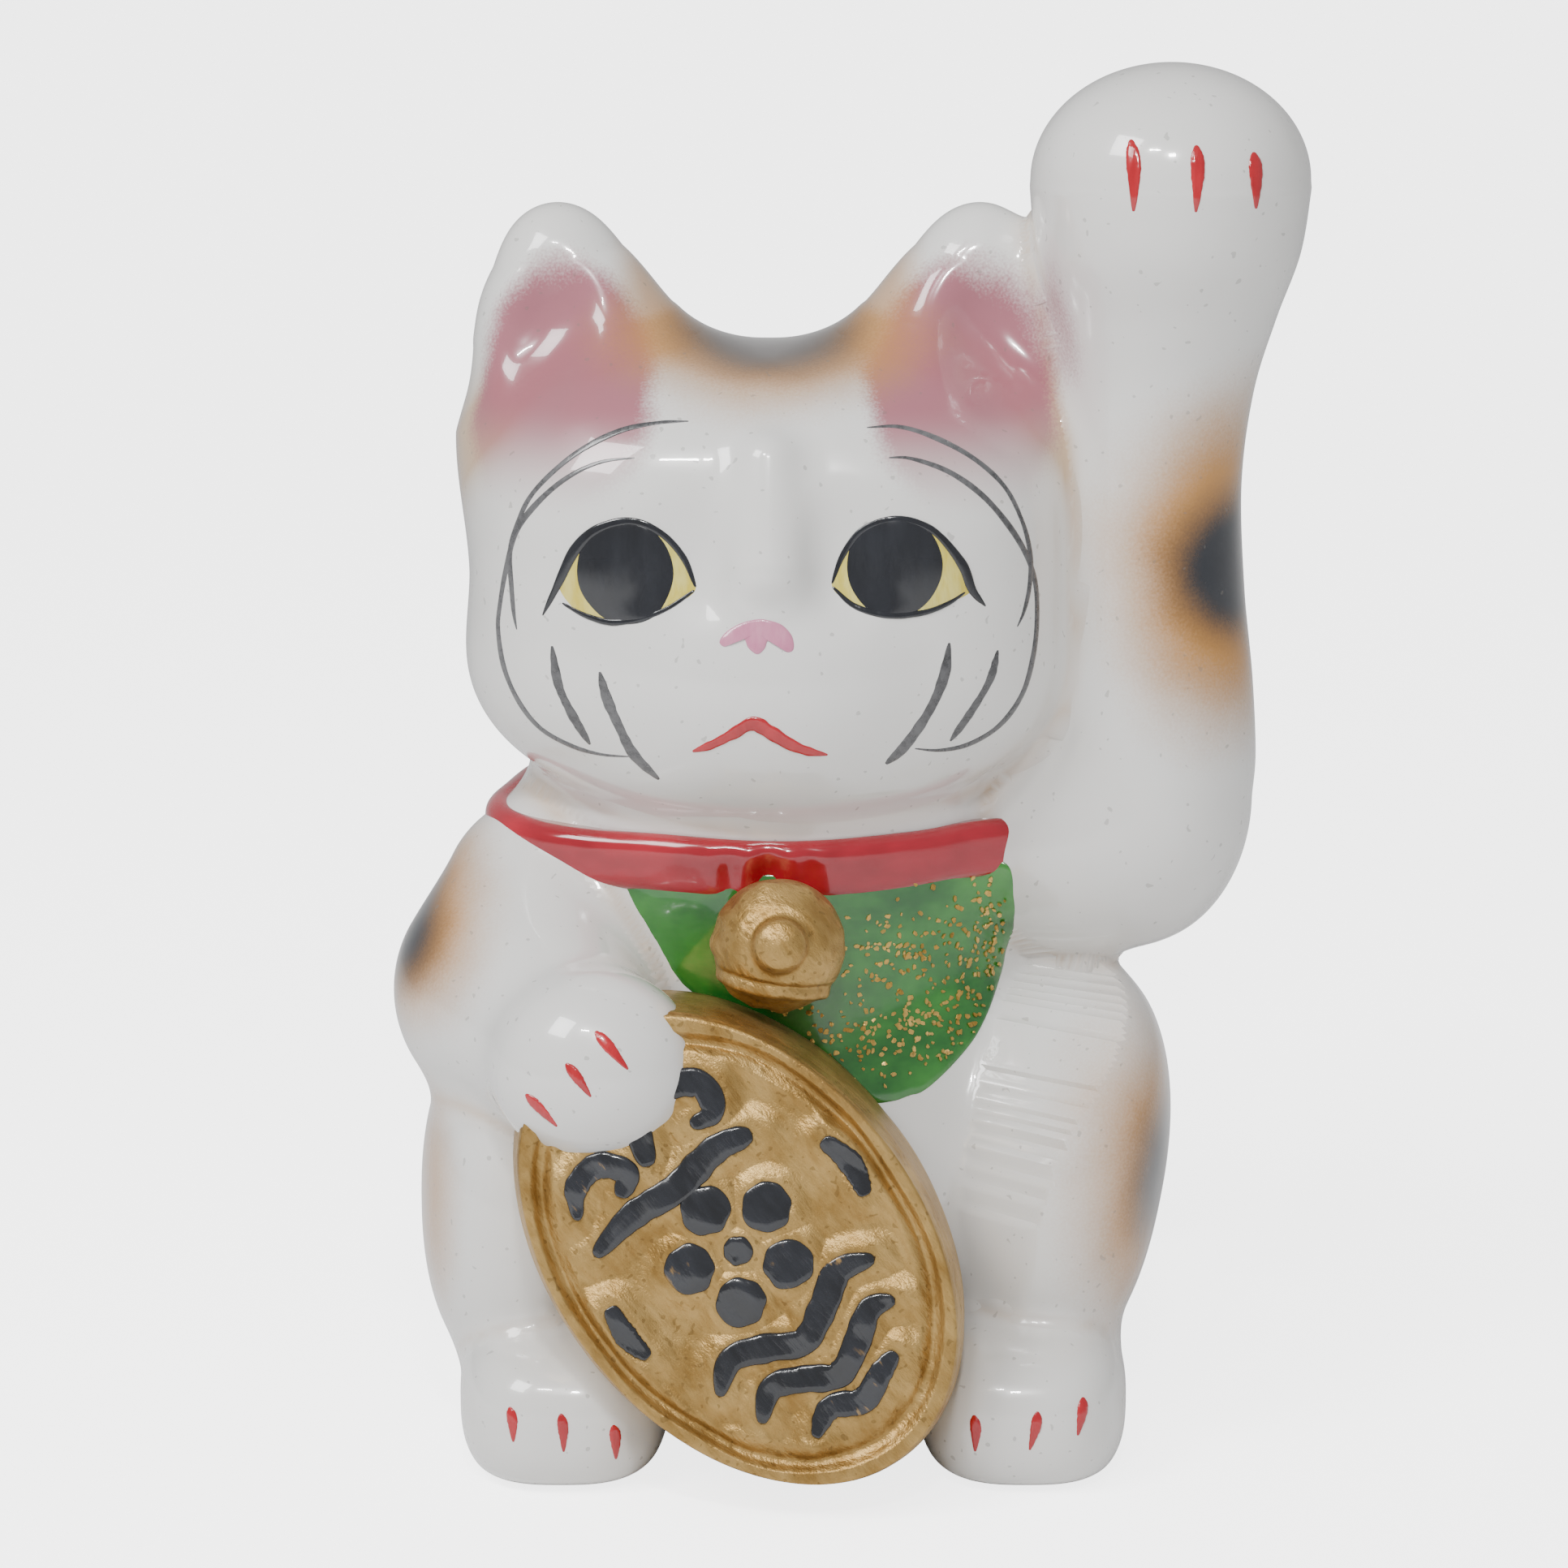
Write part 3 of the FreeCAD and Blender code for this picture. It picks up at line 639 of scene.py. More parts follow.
def make_mesh(name: str, points: Array, blocks: list[Array]) -> bpy.types.Object:
    """Makes a smooth mesh object at the origin, its faces turned outwards.

    Args:
        name: the object's name.
        points: the vertices in millimetres.
        blocks: faces, in blocks that have the same number of corners.

    Returns:
        The object, linked to the scene.
    """
    if volume(points - points.mean(0), blocks) < 0.0:
        blocks = [block[:, ::-1] for block in blocks]
    mesh = bpy.data.meshes.new(name)
    mesh.vertices.add(len(points))
    mesh.vertices.foreach_set("co", (points * METRE).astype(np.float32).ravel())
    corners = np.concatenate([block.ravel() for block in blocks])
    sizes = np.concatenate([np.full(len(block), block.shape[1]) for block in blocks])
    mesh.loops.add(len(corners))
    mesh.loops.foreach_set("vertex_index", corners.astype(np.int32))
    mesh.polygons.add(len(sizes))
    mesh.polygons.foreach_set("loop_start", (np.cumsum(sizes) - sizes).astype(np.int32))
    mesh.update(calc_edges=True)
    mesh.shade_smooth()
    piece = bpy.data.objects.new(name, mesh)
    bpy.context.scene.collection.objects.link(piece)
    return piece


def skin(name: str, surface: Array, poles: bool = True) -> bpy.types.Object:
    """Makes a closed mesh from a grid of points.

    Args:
        name: the object's name.
        surface: points by row and column; with poles, each end row is one point.
        poles: as for closed_faces.

    Returns:
        The object.
    """
    rows, columns = surface.shape[:2]
    kept, blocks = closed_faces(rows, columns, poles)
    return make_mesh(name, surface.reshape(-1, 3)[kept], blocks)


def join(pieces: Sequence[bpy.types.Object]) -> bpy.types.Object:
    """Makes one object of several, under the first one's name."""
    with bpy.context.temp_override(active_object=pieces[0], selected_editable_objects=pieces):
        bpy.ops.object.join()
    return pieces[0]


def settle(piece: bpy.types.Object, body: str, slot: Slot, *nodes: str) -> None:
    """Makes a piece ride and stand for its CAD nodes."""
    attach(piece, body)
    if nodes:
        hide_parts(*nodes)
    LOG.info("%s: %d faces on %s", piece.name, len(piece.data.polygons), body)


# ---------------------------------------------------------------- materials


class Tree:
    """Adds nodes to a node tree and joins them."""

    def __init__(self, tree: bpy.types.NodeTree) -> None:
        """Empties the tree."""
        self.tree = tree
        tree.nodes.clear()

    def add(self, kind: str, options: dict | None = None, **inputs) -> bpy.types.Node:
        """Adds a node.

        Args:
            kind: the node's type.
            options: properties to set on it.
            inputs: values or sockets for its inputs, with _ for a space in a name.

        Returns:
            The node.
        """
        node = self.tree.nodes.new(kind)
        for key, value in (options or {}).items():
            setattr(node, key, value)
        for key, value in inputs.items():
            self.feed(node.inputs[key.replace("_", " ")], value)
        return node

    def feed(self, socket: bpy.types.NodeSocket, value) -> None:
        """Sets an input, or joins another node's output to it."""
        if isinstance(value, bpy.types.NodeSocket):
            self.tree.links.new(value, socket)
        else:
            socket.default_value = value

    def math(self, operation: str, first, second=0.0) -> bpy.types.NodeSocket:
        """Works on two numbers."""
        node = self.add("ShaderNodeMath", {"operation": operation})
        self.feed(node.inputs[0], first)
        self.feed(node.inputs[1], second)
        return node.outputs[0]

    def vector(self, operation: str, first, second, output: str = "Vector"):
        """Works on two vectors."""
        node = self.add("ShaderNodeVectorMath", {"operation": operation})
        self.feed(node.inputs[0], first)
        self.feed(node.inputs[1], second)
        return node.outputs[output]

    def fade(self, value, start, end, low=0.0, high=1.0) -> bpy.types.NodeSocket:
        """Goes smoothly from low at start to high at end."""
        node = self.add("ShaderNodeMapRange", {"interpolation_type": "SMOOTHSTEP"}, Value=value)
        for index, number in enumerate((start, end, low, high), 1):
            self.feed(node.inputs[index], number)
        return node.outputs["Result"]

    def mix(self, share, first, second) -> bpy.types.NodeSocket:
        """Mixes two colours."""
        node = self.add("ShaderNodeMix", {"data_type": "RGBA"})
        for index, value in ((0, share), (6, first), (7, second)):
            self.feed(node.inputs[index], value)
        return node.outputs[2]

    def noise(self, vector, scale: float, detail: float = 2.0) -> bpy.types.NodeSocket:
        """Smooth noise from 0 to 1."""
        node = self.add("ShaderNodeTexNoise", Vector=vector, Scale=scale, Detail=detail)
        return node.outputs["Fac"]

    def group(self, tree: bpy.types.NodeTree, **inputs) -> bpy.types.NodeSocket:
        """Places a shared group and gives its output."""
        node = self.add("ShaderNodeGroup", {"node_tree": tree}, **inputs)
        return node.outputs[0]


def colour(code: str) -> tuple[float, float, float, float]:
    """Turns a six-figure screen colour into the renderer's linear one."""
    parts = np.array([int(code[k:k + 2], 16) for k in (0, 2, 4)]) / 255.0
    linear = np.where(parts <= 0.04045, parts / 12.92, ((parts + 0.055) / 1.055) ** 2.4)
    return (*linear.tolist(), 1.0)


def shared_group(name: str, inputs: Sequence[tuple[str, str, object]]) -> tuple:
    """Starts a shared node group with one output called Mask.

    Args:
        name: the group's name.
        inputs: name, kind of socket and first value of each input.

    Returns:
        The group, its tree helper, its input node and its output node.
    """
    tree = bpy.data.node_groups.new(name, "ShaderNodeTree")
    for label, kind, value in inputs:
        socket = tree.interface.new_socket(label, in_out="INPUT", socket_type=kind)
        socket.default_value = value
    tree.interface.new_socket("Mask", in_out="OUTPUT", socket_type="NodeSocketFloat")
    helper = Tree(tree)
    return tree, helper, helper.add("NodeGroupInput"), helper.add("NodeGroupOutput")


def airbrush_group() -> bpy.types.NodeTree:
    """Builds the airbrushed patch.

    The mask is 1 inside an egg and fades to 0 outside it over the softness, with the fine
    spatter of an airbrush in the fade: the offset over the size has a length of 1 on the
    egg's surface.
    """
    tree, t, given, out = shared_group("airbrush", [
        ("Position", "NodeSocketVector", (0, 0, 0)), ("Centre", "NodeSocketVector", (0, 0, 0)),
        ("Size", "NodeSocketVector", (1, 1, 1)), ("Softness", "NodeSocketFloat", 0.5)])
    offset = t.vector("SUBTRACT", given.outputs["Position"], given.outputs["Centre"])
    ratio = t.vector("DIVIDE", offset, given.outputs["Size"])
    length = t.vector("LENGTH", ratio, (0, 0, 0), "Value")
    cloud = t.noise(given.outputs["Position"], 60.0, 2.0)
    spatter = t.noise(given.outputs["Position"], 2600.0, 1.0)
    uneven = t.math("ADD", t.math("MULTIPLY", t.math("SUBTRACT", cloud, 0.5), 0.35),
                    t.math("MULTIPLY", t.math("SUBTRACT", spatter, 0.5), 0.16))
    full = t.math("ADD", length, uneven)
    start = t.math("ADD", 1.0, given.outputs["Softness"])
    end = t.math("SUBTRACT", 1.0, given.outputs["Softness"])
    t.feed(out.inputs[0], t.fade(full, start, end))
    return tree


def speckle_group() -> bpy.types.NodeTree:
    """Builds sparse specks: the mask is 1 where fine noise passes a threshold."""
    tree, t, given, out = shared_group("speckle", [
        ("Position", "NodeSocketVector", (0, 0, 0)), ("Scale", "NodeSocketFloat", 400.0),
        ("Rarity", "NodeSocketFloat", 0.75)])
    node = t.add("ShaderNodeTexNoise", Vector=given.outputs["Position"], Detail=0.0)
    t.feed(node.inputs["Scale"], given.outputs["Scale"])
    end = t.math("ADD", given.outputs["Rarity"], 0.03)
    t.feed(out.inputs[0], t.fade(node.outputs["Fac"], given.outputs["Rarity"], end))
    return tree


def streak_group() -> bpy.types.NodeTree:
    """Builds brush streaks: noise that is stretched along the brush, from 0 to 1."""
    tree, t, given, out = shared_group("brush_streaks", [
        ("Position", "NodeSocketVector", (0, 0, 0)), ("Turn", "NodeSocketVector", (0, 0, 0)),
        ("Stretch", "NodeSocketVector", (1, 1, 1)), ("Scale", "NodeSocketFloat", 300.0)])
    turn = t.add("ShaderNodeMapping")
    t.feed(turn.inputs["Vector"], given.outputs["Position"])
    t.feed(turn.inputs["Rotation"], given.outputs["Turn"])
    drawn = t.vector("MULTIPLY", turn.outputs["Vector"], given.outputs["Stretch"])
    node = t.add("ShaderNodeTexNoise", Vector=drawn, Detail=3.0, Roughness=0.6)
    t.feed(node.inputs["Scale"], given.outputs["Scale"])
    t.feed(out.inputs[0], t.fade(node.outputs["Fac"], 0.3, 0.7))
    return tree


class Effects:
    """The shared node groups, each built once."""

    def __init__(self) -> None:
        """Builds the groups."""
        self.airbrush = airbrush_group()
        self.speckle = speckle_group()
        self.streaks = streak_group()


def start_material(name: str) -> tuple[bpy.types.Material, Tree, bpy.types.Node, object]:
    """Starts a material with one glossy shader.

    Args:
        name: the material's name.

    Returns:
        The material, its tree helper, its shader and its position socket.
    """
    material = bpy.data.materials.new(name)
    material.use_nodes = True
    tree = Tree(material.node_tree)
    shader = tree.add("ShaderNodeBsdfPrincipled")
    output = tree.add("ShaderNodeOutputMaterial")
    tree.feed(output.inputs["Surface"], shader.outputs["BSDF"])
    position = tree.add("ShaderNodeTexCoord").outputs["Object"]
    return material, tree, shader, position


def set_values(shader: bpy.types.Node, **values) -> None:
    """Sets constants on a shader's own sockets."""
    for key, value in values.items():
        shader.inputs[key.replace("_", " ")].default_value = value


def add_bump(tree: Tree, shader: bpy.types.Node, height, strength: float, depth: float) -> None:
    """Joins a height to the shader's normal through a bump node."""
    bump = tree.add("ShaderNodeBump", Height=height, Strength=strength, Distance=depth)
    tree.feed(shader.inputs["Normal"], bump.outputs["Normal"])


@dataclass(frozen=True)
class Patch:
    """An airbrushed patch: its middle and half sizes in millimetres, and its edge."""

    middle: Triple
    size: Triple
    softness: float = 0.5
    strength: float = 1.0


@dataclass(frozen=True)
class WhiteGlaze:
    """Clear glaze over white slip, with airbrushed calico patches and pink ears."""

    effects: Effects
    name: str = "white_glaze"
    white: str = "EDEDEB"
    # painted shade: the warm tan laid into creases and close to the table, where shade falls
    crease_shade: str = "C9A57C"
    tan: str = "BC843C"
    slate: str = "1F232B"
    pink: str = "A25A68"
    tans: tuple[Patch, ...] = (
        Patch((-1.6, 2.0, 168.0), (23.0, 42.0, 10.5), 0.4, 0.9),
        Patch((-17.5, 4.0, 175.0), (6.5, 24.0, 14.0), 0.5, 0.7),
        Patch((14.3, 4.0, 175.0), (6.5, 24.0, 14.0), 0.5, 0.7),
        Patch((-56.0, -14.0, 80.5), (13.5, 26.0, 14.0), 0.5, 1.0),
        Patch((68.5, -10.0, 135.0), (18.5, 30.0, 24.5), 0.42, 1.0),
        Patch((56.5, -17.0, 42.0), (15.5, 30.0, 22.0), 0.45, 1.0),
        Patch((-55.5, -15.0, 38.0), (7.5, 26.0, 17.0), 0.5, 0.85),
        Patch((14.0, 48.0, 66.0), (22.0, 12.0, 19.0), 0.4, 0.9),
        Patch((1.5, 56.0, 30.0), (12.0, 12.0, 13.0), 0.5, 0.9),
    )
    slates: tuple[Patch, ...] = (
        Patch((-1.6, 2.0, 169.5), (13.0, 38.0, 6.5), 0.45, 0.92),
        Patch((-57.5, -14.0, 80.0), (8.0, 20.0, 9.0), 0.5, 1.0),
        Patch((69.0, -10.0, 134.5), (12.0, 24.0, 10.5), 0.45, 1.0),
        Patch((58.0, -17.0, 43.0), (8.0, 22.0, 11.5), 0.45, 1.0),
        Patch((16.0, 51.0, 68.0), (13.0, 9.0, 11.0), 0.5, 0.95),
    )
    ears: tuple[Patch, ...] = (
        Patch((-33.4, -22.0, 163.0), (16.0, 19.0, 23.5), 0.14, 1.0),
        Patch((28.0, -22.0, 163.0), (15.5, 19.0, 23.5), 0.14, 1.0),
    )

    def cover(self, tree: Tree, position, patches: Sequence[Patch]):
        """Gives the strongest of several patches' masks."""
        total = 0.0
        for patch in patches:
            mask = tree.group(self.effects.airbrush, Position=position,
                              Centre=[v * METRE for v in patch.middle],
                              Size=[v * METRE for v in patch.size], Softness=patch.softness)
            total = tree.math("MAXIMUM", total, tree.math("MULTIPLY", mask, patch.strength))
        return total

    def material(self) -> bpy.types.Material:
        """Builds the material.

        Returns:
            The glaze: white, darkened to a warm painted shade in its creases, then pink,
            tan and slate over it, with fine specks under a smooth clear coat.
        """
        material, tree, shader, position = start_material(self.name)
        cloud = tree.noise(position, 22.0, 3.0)
        base = tree.mix(cloud, colour(self.white), colour("E2E0DC"))
        # painted shade: the crease attribute darkens the white towards a warm tan in creases
        pool = tree.add("ShaderNodeAttribute", {"attribute_name": "crease_shade"}).outputs["Fac"]
        base = tree.mix(tree.math("MULTIPLY", pool, 0.85), base, colour(self.crease_shade))
        height = tree.add("ShaderNodeSeparateXYZ", Vector=position).outputs["Z"]
        fall = tree.fade(height, 0.143, 0.160)
        pink = tree.math("MULTIPLY", self.cover(tree, position, self.ears), fall)
        base = tree.mix(tree.math("MULTIPLY", pink, 0.95), base, colour(self.pink))
        base = tree.mix(self.cover(tree, position, self.tans), base, colour(self.tan))
        base = tree.mix(self.cover(tree, position, self.slates), base, colour(self.slate))
        specks = tree.group(self.effects.speckle, Position=position, Scale=900.0, Rarity=0.79)
        base = tree.mix(tree.math("MULTIPLY", specks, 0.35), base, colour("6E6A62"))
        tree.feed(shader.inputs["Base Color"], base)
        tree.feed(shader.inputs["Roughness"], tree.fade(cloud, 0.3, 0.7, 0.16, 0.26))
        set_values(shader, Coat_Weight=1.0, Coat_Roughness=0.02, IOR=1.5)
        add_bump(tree, shader, tree.noise(position, 130.0, 1.0), 0.06, 0.002)
        return material


@dataclass(frozen=True)
class Enamel:
    """Overglaze enamel put on with a brush: two tones, streaks, and thin places."""

    effects: Effects
    name: str
    deep: str
    light: str
    scale: float = 260.0
    stretch: Triple = (1.0, 1.0, 0.25)
    turn: Triple = (0.0, 0.0, 0.0)
    roughness: float = 0.12
    streak: float = 0.5
    bump: float = 0.15
    bare: str = ""

    def material(self) -> bpy.types.Material:
        """Builds the material: the light tone shows along the brush, and the bare colour,
        if there is one, where the brush ran dry."""
        material, tree, shader, position = start_material(self.name)
        streaks = tree.group(self.effects.streaks, Position=position, Stretch=self.stretch,
                             Turn=self.turn, Scale=self.scale)
        cloud = tree.fade(tree.noise(position, 90.0, 3.0), 0.35, 0.68)
        share = tree.math("MULTIPLY", tree.math("ADD", streaks, cloud), self.streak)
        base = tree.mix(share, colour(self.deep), colour(self.light))
        if self.bare:
            dry = tree.fade(tree.math("MULTIPLY", streaks, cloud), 0.62, 0.85)
            base = tree.mix(dry, base, colour(self.bare))
        tree.feed(shader.inputs["Base Color"], base)
        rough = tree.fade(streaks, 0.0, 1.0, self.roughness, self.roughness + 0.12)
        tree.feed(shader.inputs["Roughness"], rough)
        set_values(shader, Coat_Weight=0.8, Coat_Roughness=0.05)
        add_bump(tree, shader, streaks, self.bump, 0.0004)
        return material


@dataclass(frozen=True)
class GoldPaint:
    """Bronze-powder gold paint, satin, brushed on thickly."""

    effects: Effects
    name: str = "gold_paint"
    deep: str = "93713A"
    light: str = "C8A668"
    stretch: Triple = (1.0, 1.0, 0.3)
    turn: Triple = (0.0, 0.0, 0.0)
    roughness: float = 0.34

    def material(self) -> bpy.types.Material:
        """Builds the material: a metal of two tones with fine brush marks and grain."""
        material, tree, shader, position = start_material(self.name)
        streaks = tree.group(self.effects.streaks, Position=position, Stretch=self.stretch,
                             Turn=self.turn, Scale=700.0)
        cloud = tree.fade(tree.noise(position, 120.0, 4.0), 0.3, 0.7)
        grain = tree.noise(position, 4200.0, 1.0)
        share = tree.math("ADD", tree.math("MULTIPLY", streaks, 0.35),
                          tree.math("MULTIPLY", cloud, 0.55))
        base = tree.mix(share, colour(self.deep), colour(self.light))
        specks = tree.group(self.effects.speckle, Position=position, Scale=1100.0, Rarity=0.72)
        base = tree.mix(tree.math("MULTIPLY", specks, 0.4), base, colour("5E4622"))
        tree.feed(shader.inputs["Base Color"], base)
        rough = tree.math("ADD", self.roughness, tree.math("MULTIPLY", grain, 0.18))
        tree.feed(shader.inputs["Roughness"], rough)
        set_values(shader, Metallic=0.82)
        marks = tree.math("ADD", streaks, tree.math("MULTIPLY", grain, 0.5))
        add_bump(tree, shader, marks, 0.25, 0.0005)
        return material


@dataclass(frozen=True)
class Rubber:
    """The stopper's pale, slightly dusty rubber."""

    effects: Effects
    name: str = "stopper_rubber"

    def material(self) -> bpy.types.Material:
        """Builds the material: dull cream with a fine moulded grain and dark specks."""
        material, tree, shader, position = start_material(self.name)
        cloud = tree.noise(position, 240.0, 4.0)
        specks = tree.group(self.effects.speckle, Position=position, Scale=1500.0, Rarity=0.68)
        base = tree.mix(cloud, colour("C9C3B4"), colour("B3AB99"))
        base = tree.mix(tree.math("MULTIPLY", specks, 0.5), base, colour("6B6558"))
        tree.feed(shader.inputs["Base Color"], base)
        tree.feed(shader.inputs["Roughness"], tree.fade(cloud, 0.3, 0.7, 0.55, 0.75))
        add_bump(tree, shader, tree.noise(position, 3200.0, 2.0), 0.2, 0.0003)
        return material


class Palette:
    """Every finish on the figurine, built once."""

    def __init__(self) -> None:
        """Mixes the finishes."""
        effects = Effects()
        coin_turn = (0.0, math.radians(39.0), 0.0)
        self.glaze = WhiteGlaze(effects).material()
        self.gold = GoldPaint(effects, turn=coin_turn).material()
        self.flake = GoldPaint(effects, "gold_flake", "A98238", "E3C070", roughness=0.22).material()
        self.red = Enamel(effects, "red_enamel", "8E0A1C", "B3142A", 160.0,
                          (0.3, 0.3, 1.0)).material()
        self.claw = Enamel(effects, "claw_red", "A00616", "BE1826", 500.0).material()
        self.green = Enamel(effects, "green_enamel", "135A1E", "3E8C34", 150.0,
                            (0.5, 0.5, 1.0), roughness=0.08).material()
        self.black = Enamel(effects, "black_enamel", "0C0E14", "1A1D25", 300.0).material()
        self.brush = Enamel(effects, "coin_black", "0D0F14", "20232B", 520.0, (1, 1, 0.2),
                            coin_turn, 0.14, bare="8A6C3C").material()
        self.line = Enamel(effects, "brush_line", "3B3B3D", "6A6A6C", 900.0, (1, 1, 1),
                           roughness=0.25, streak=0.42).material()
        self.yellow = Enamel(effects, "eye_yellow", "CDB93A", "E2DA86", 700.0).material()
        self.pink = Enamel(effects, "nose_pink", "C26E92", "D892AC", 500.0).material()
        self.rubber = Rubber(effects).material()


# ---------------------------------------------------------------- paint on the figure


def lens_rows(count: int, power: float = 4.0) -> tuple[Array, Array]:
    """Gives shares from the middle to the edge, closer together near it, and the height
    there as a share of the thickness: (1 - s^power)^0.5."""
    share = np.sin(np.linspace(0.0, math.pi / 2, count))
    return share, np.sqrt(np.maximum(1.0 - share**power, 0.0))


class Brushwork:
    """Lays thin bodies of paint on the front of the figure."""

    def __init__(self, figurine: Figurine, away: Away | None = None) -> None:
        """Keeps the form that the paint lies on."""
        self.figurine = figurine
        self.away = away or figurine.away

    def onto(self, x: Array, z: Array) -> tuple[Array, Array]:
        """Finds the surface behind places on the XZ plane, and its outward direction.

        Args:
            x: places across, on a grid.
            z: heights, on the same grid.

        Returns:
            The points and the directions, on that grid.
        """
        points = np.stack([x.ravel(), np.full(x.size, -72.0), z.ravel()], -1)
        for _ in range(40):
            points[:, 1] += 0.9 * self.away(points)
        steps = 0.2 * np.eye(3)
        slope = np.stack([self.away(points + s) - self.away(points - s) for s in steps], -1)
        return points.reshape(*x.shape, 3), unit(slope).reshape(*x.shape, 3)

    def pool(self, outline: Array, middle: Sequence[float], thick: float, rows: int = 22,
             power: float = 6.0) -> Array:
        """Fills an outline with a pool of paint.

        Each point is the middle plus a share of the way to the outline, projected onto
        the figure; the top rises off it by the lens height, and the underside is sunk.

        Args:
            outline: the edge, as (x, z) rows.
            middle: a place that sees the whole edge.
            thick: the pool's thickness.
            rows: how many rings there are.
            power: how flat the top is.

        Returns:
            A closed grid with poles.
        """
        share, height = lens_rows(rows, power)
        flat = np.array(middle) + share[:, None, None] * (outline - np.array(middle))
        points, out = self.onto(flat[..., 0], flat[..., 1])
        top = points + out * (thick * height - 0.03 * (1 - height))[:, None, None]
        under = points - out * 0.3
        return np.concatenate([top, under[::-1]])

    def stroke(self, path: Sequence[Sequence[float]], widths: Sequence[float], thick: float,
               count: int = 56, wobble: float = 0.05, seed: int = 0) -> Array:
        """Draws one brush stroke.

        The section is a flat lens across the path, of half the width each side, and the
        ends taper to a point.

        Args:
            path: the places that the brush passes, as (x, z).
            widths: full widths at even distances along it.
            thick: the paint's thickness in the middle.
            count: how many rows there are along it.
            wobble: how uneven the edges are, as a share of the width.
            seed: picks the unevenness.

        Returns:
            A closed grid with poles.
        """
        line = spline(path, count)
        ahead = np.gradient(line, axis=0)
        side = unit(np.stack([-ahead[:, 1], ahead[:, 0]], -1))
        t = np.linspace(0.0, 1.0, count)
        width = np.interp(t, np.linspace(0.0, 1.0, len(widths)), widths)
        width = width * (1.0 + wobble * ripple(t * 2 * math.pi, seed, 3, 9))
        width = width * np.sqrt(np.clip(1.0 - np.abs(2 * t - 1) ** 12, 0.0, 1.0))
        v = np.sin(np.linspace(-math.pi / 2, math.pi / 2, 9))
        flat = line[:, None, :] + side[:, None, :] * (v[None, :, None] * width[:, None, None] / 2)
        points, out = self.onto(flat[..., 0], flat[..., 1])
        share = np.clip(width / max(width.max(), 1e-6), 0.0, 1.0)[:, None]
        height = thick * np.sqrt(np.maximum(1.0 - v**4, 0.0))[None, :] * share
        top = points + out * height[..., None]
        under = points - out * 0.25
        grid = np.concatenate([top, under[:, ::-1]], axis=1)
        grid[0] = grid[0].mean(0)
        grid[-1] = grid[-1].mean(0)
        return grid


# ---------------------------------------------------------------- the pottery


class Pottery:
    """The white glazed pieces."""

    def __init__(self, figurine: Figurine, palette: Palette) -> None:
        """Keeps the form and the finishes."""
        self.figurine = figurine
        self.palette = palette

    def crease_shade(self, points: Array) -> Array:
        """Gives the painted shade at each point: how deep in a crease it lies, as how much
        the fillets add to the nearest lump of clay, up to 1 at 2 mm, and a little close to the
        table."""
        nearest = self.figurine.lumps[0].away(points)
        for lump in self.figurine.lumps[1:]:
            nearest = np.minimum(nearest, lump.away(points))
        added = nearest - self.figurine.away(points)
        return np.clip(added / 2.0, 0.0, 1.0) ** 1.6

    def glaze(self, piece: bpy.types.Object) -> None:
        """Writes the painted crease shade as an attribute and gives the piece its glaze."""
        count = len(piece.data.vertices)
        points = np.empty(count * 3, np.float32)
        piece.data.vertices.foreach_get("co", points)
        depth = self.crease_shade(points.reshape(-1, 3).astype(float) / METRE)
        attribute = piece.data.attributes.new("crease_shade", "FLOAT", "POINT")
        attribute.data.foreach_set("value", depth.astype(np.float32))
        piece.data.materials.append(self.palette.glaze)

    def hollow(self, piece: bpy.types.Object) -> None:
        """Cuts the coin slot and the stepped stopper hole into the body.

        The slot is a flat tube with round ends, a super-ellipse of power 6; the hole is a
        turned profile.  Both end in a rounded pit inside the clay.

        Args:
            piece: the body.
        """
        slot_mid, slot_half = np.array([-1.6, 74.0]), np.array([18.0, 2.5])
        depths = np.array([19.0, 19.0, 21.0, 30.0, 40.2, 41.4, 60.0, 60.0])
        sizes = np.array([0.0, 0.8, 1.0, 1.0, 1.0, 1.06, 1.6, 0.0])
        turn = np.linspace(0.0, 2 * math.pi, 120, endpoint=False)
        level = (np.abs(np.cos(turn)) ** 6 + np.abs(np.sin(turn)) ** 6) ** (-1 / 6)
        edge = np.stack([np.cos(turn) * level, np.sin(turn) * level], -1) * slot_half
        flat = slot_mid + sizes[:, None, None] * edge
        back = np.broadcast_to(depths[:, None], flat.shape[:2])
        slot = skin("slot_tool", np.stack([flat[..., 0], back, flat[..., 1]], -1))
        low, _ = node_box("base_stopper")
        profile = np.array([(0, -4), (15.6, -4), (15.6, 1.3), (15.3, 1.85), (13.1, 1.9),
                            (12.6, 2.3), (12.5, 3.0), (12.5, 17.0), (9.0, 20.0), (0, 20.0)])
        middle = np.array([low[0] + 15.0, low[1] + 15.0])
        hole = skin("hole_tool", turned_surface(profile, middle, 96))
        for tool in (slot, hole):
            cutter = piece.modifiers.new(tool.name, "BOOLEAN")
            cutter.operation, cutter.object, cutter.solver = "DIFFERENCE", tool, "MANIFOLD"
        bpy.context.view_layer.update()
        shown = piece.evaluated_get(bpy.context.evaluated_depsgraph_get())
        mesh = bpy.data.meshes.new_from_object(shown)
        piece.modifiers.clear()
        piece.data = mesh
        mesh.name = piece.name
        mesh.materials.clear()
        mesh.shade_smooth()
        mesh.set_sharp_from_angle(angle=math.radians(38.0))
        for tool in (slot, hole):
            bpy.data.objects.remove(tool)

    def build(self) -> None:
        """Casts each lump, finishes it and settles it on the figurine."""
        for lump in self.figurine.lumps:
            piece = skin(lump.name, piece_surface(self.figurine, lump))
            if lump is self.figurine.torso:
                self.hollow(piece)
            self.glaze(piece)
            settle(piece, FIGURINE, Slot.WHITE, lump.node)


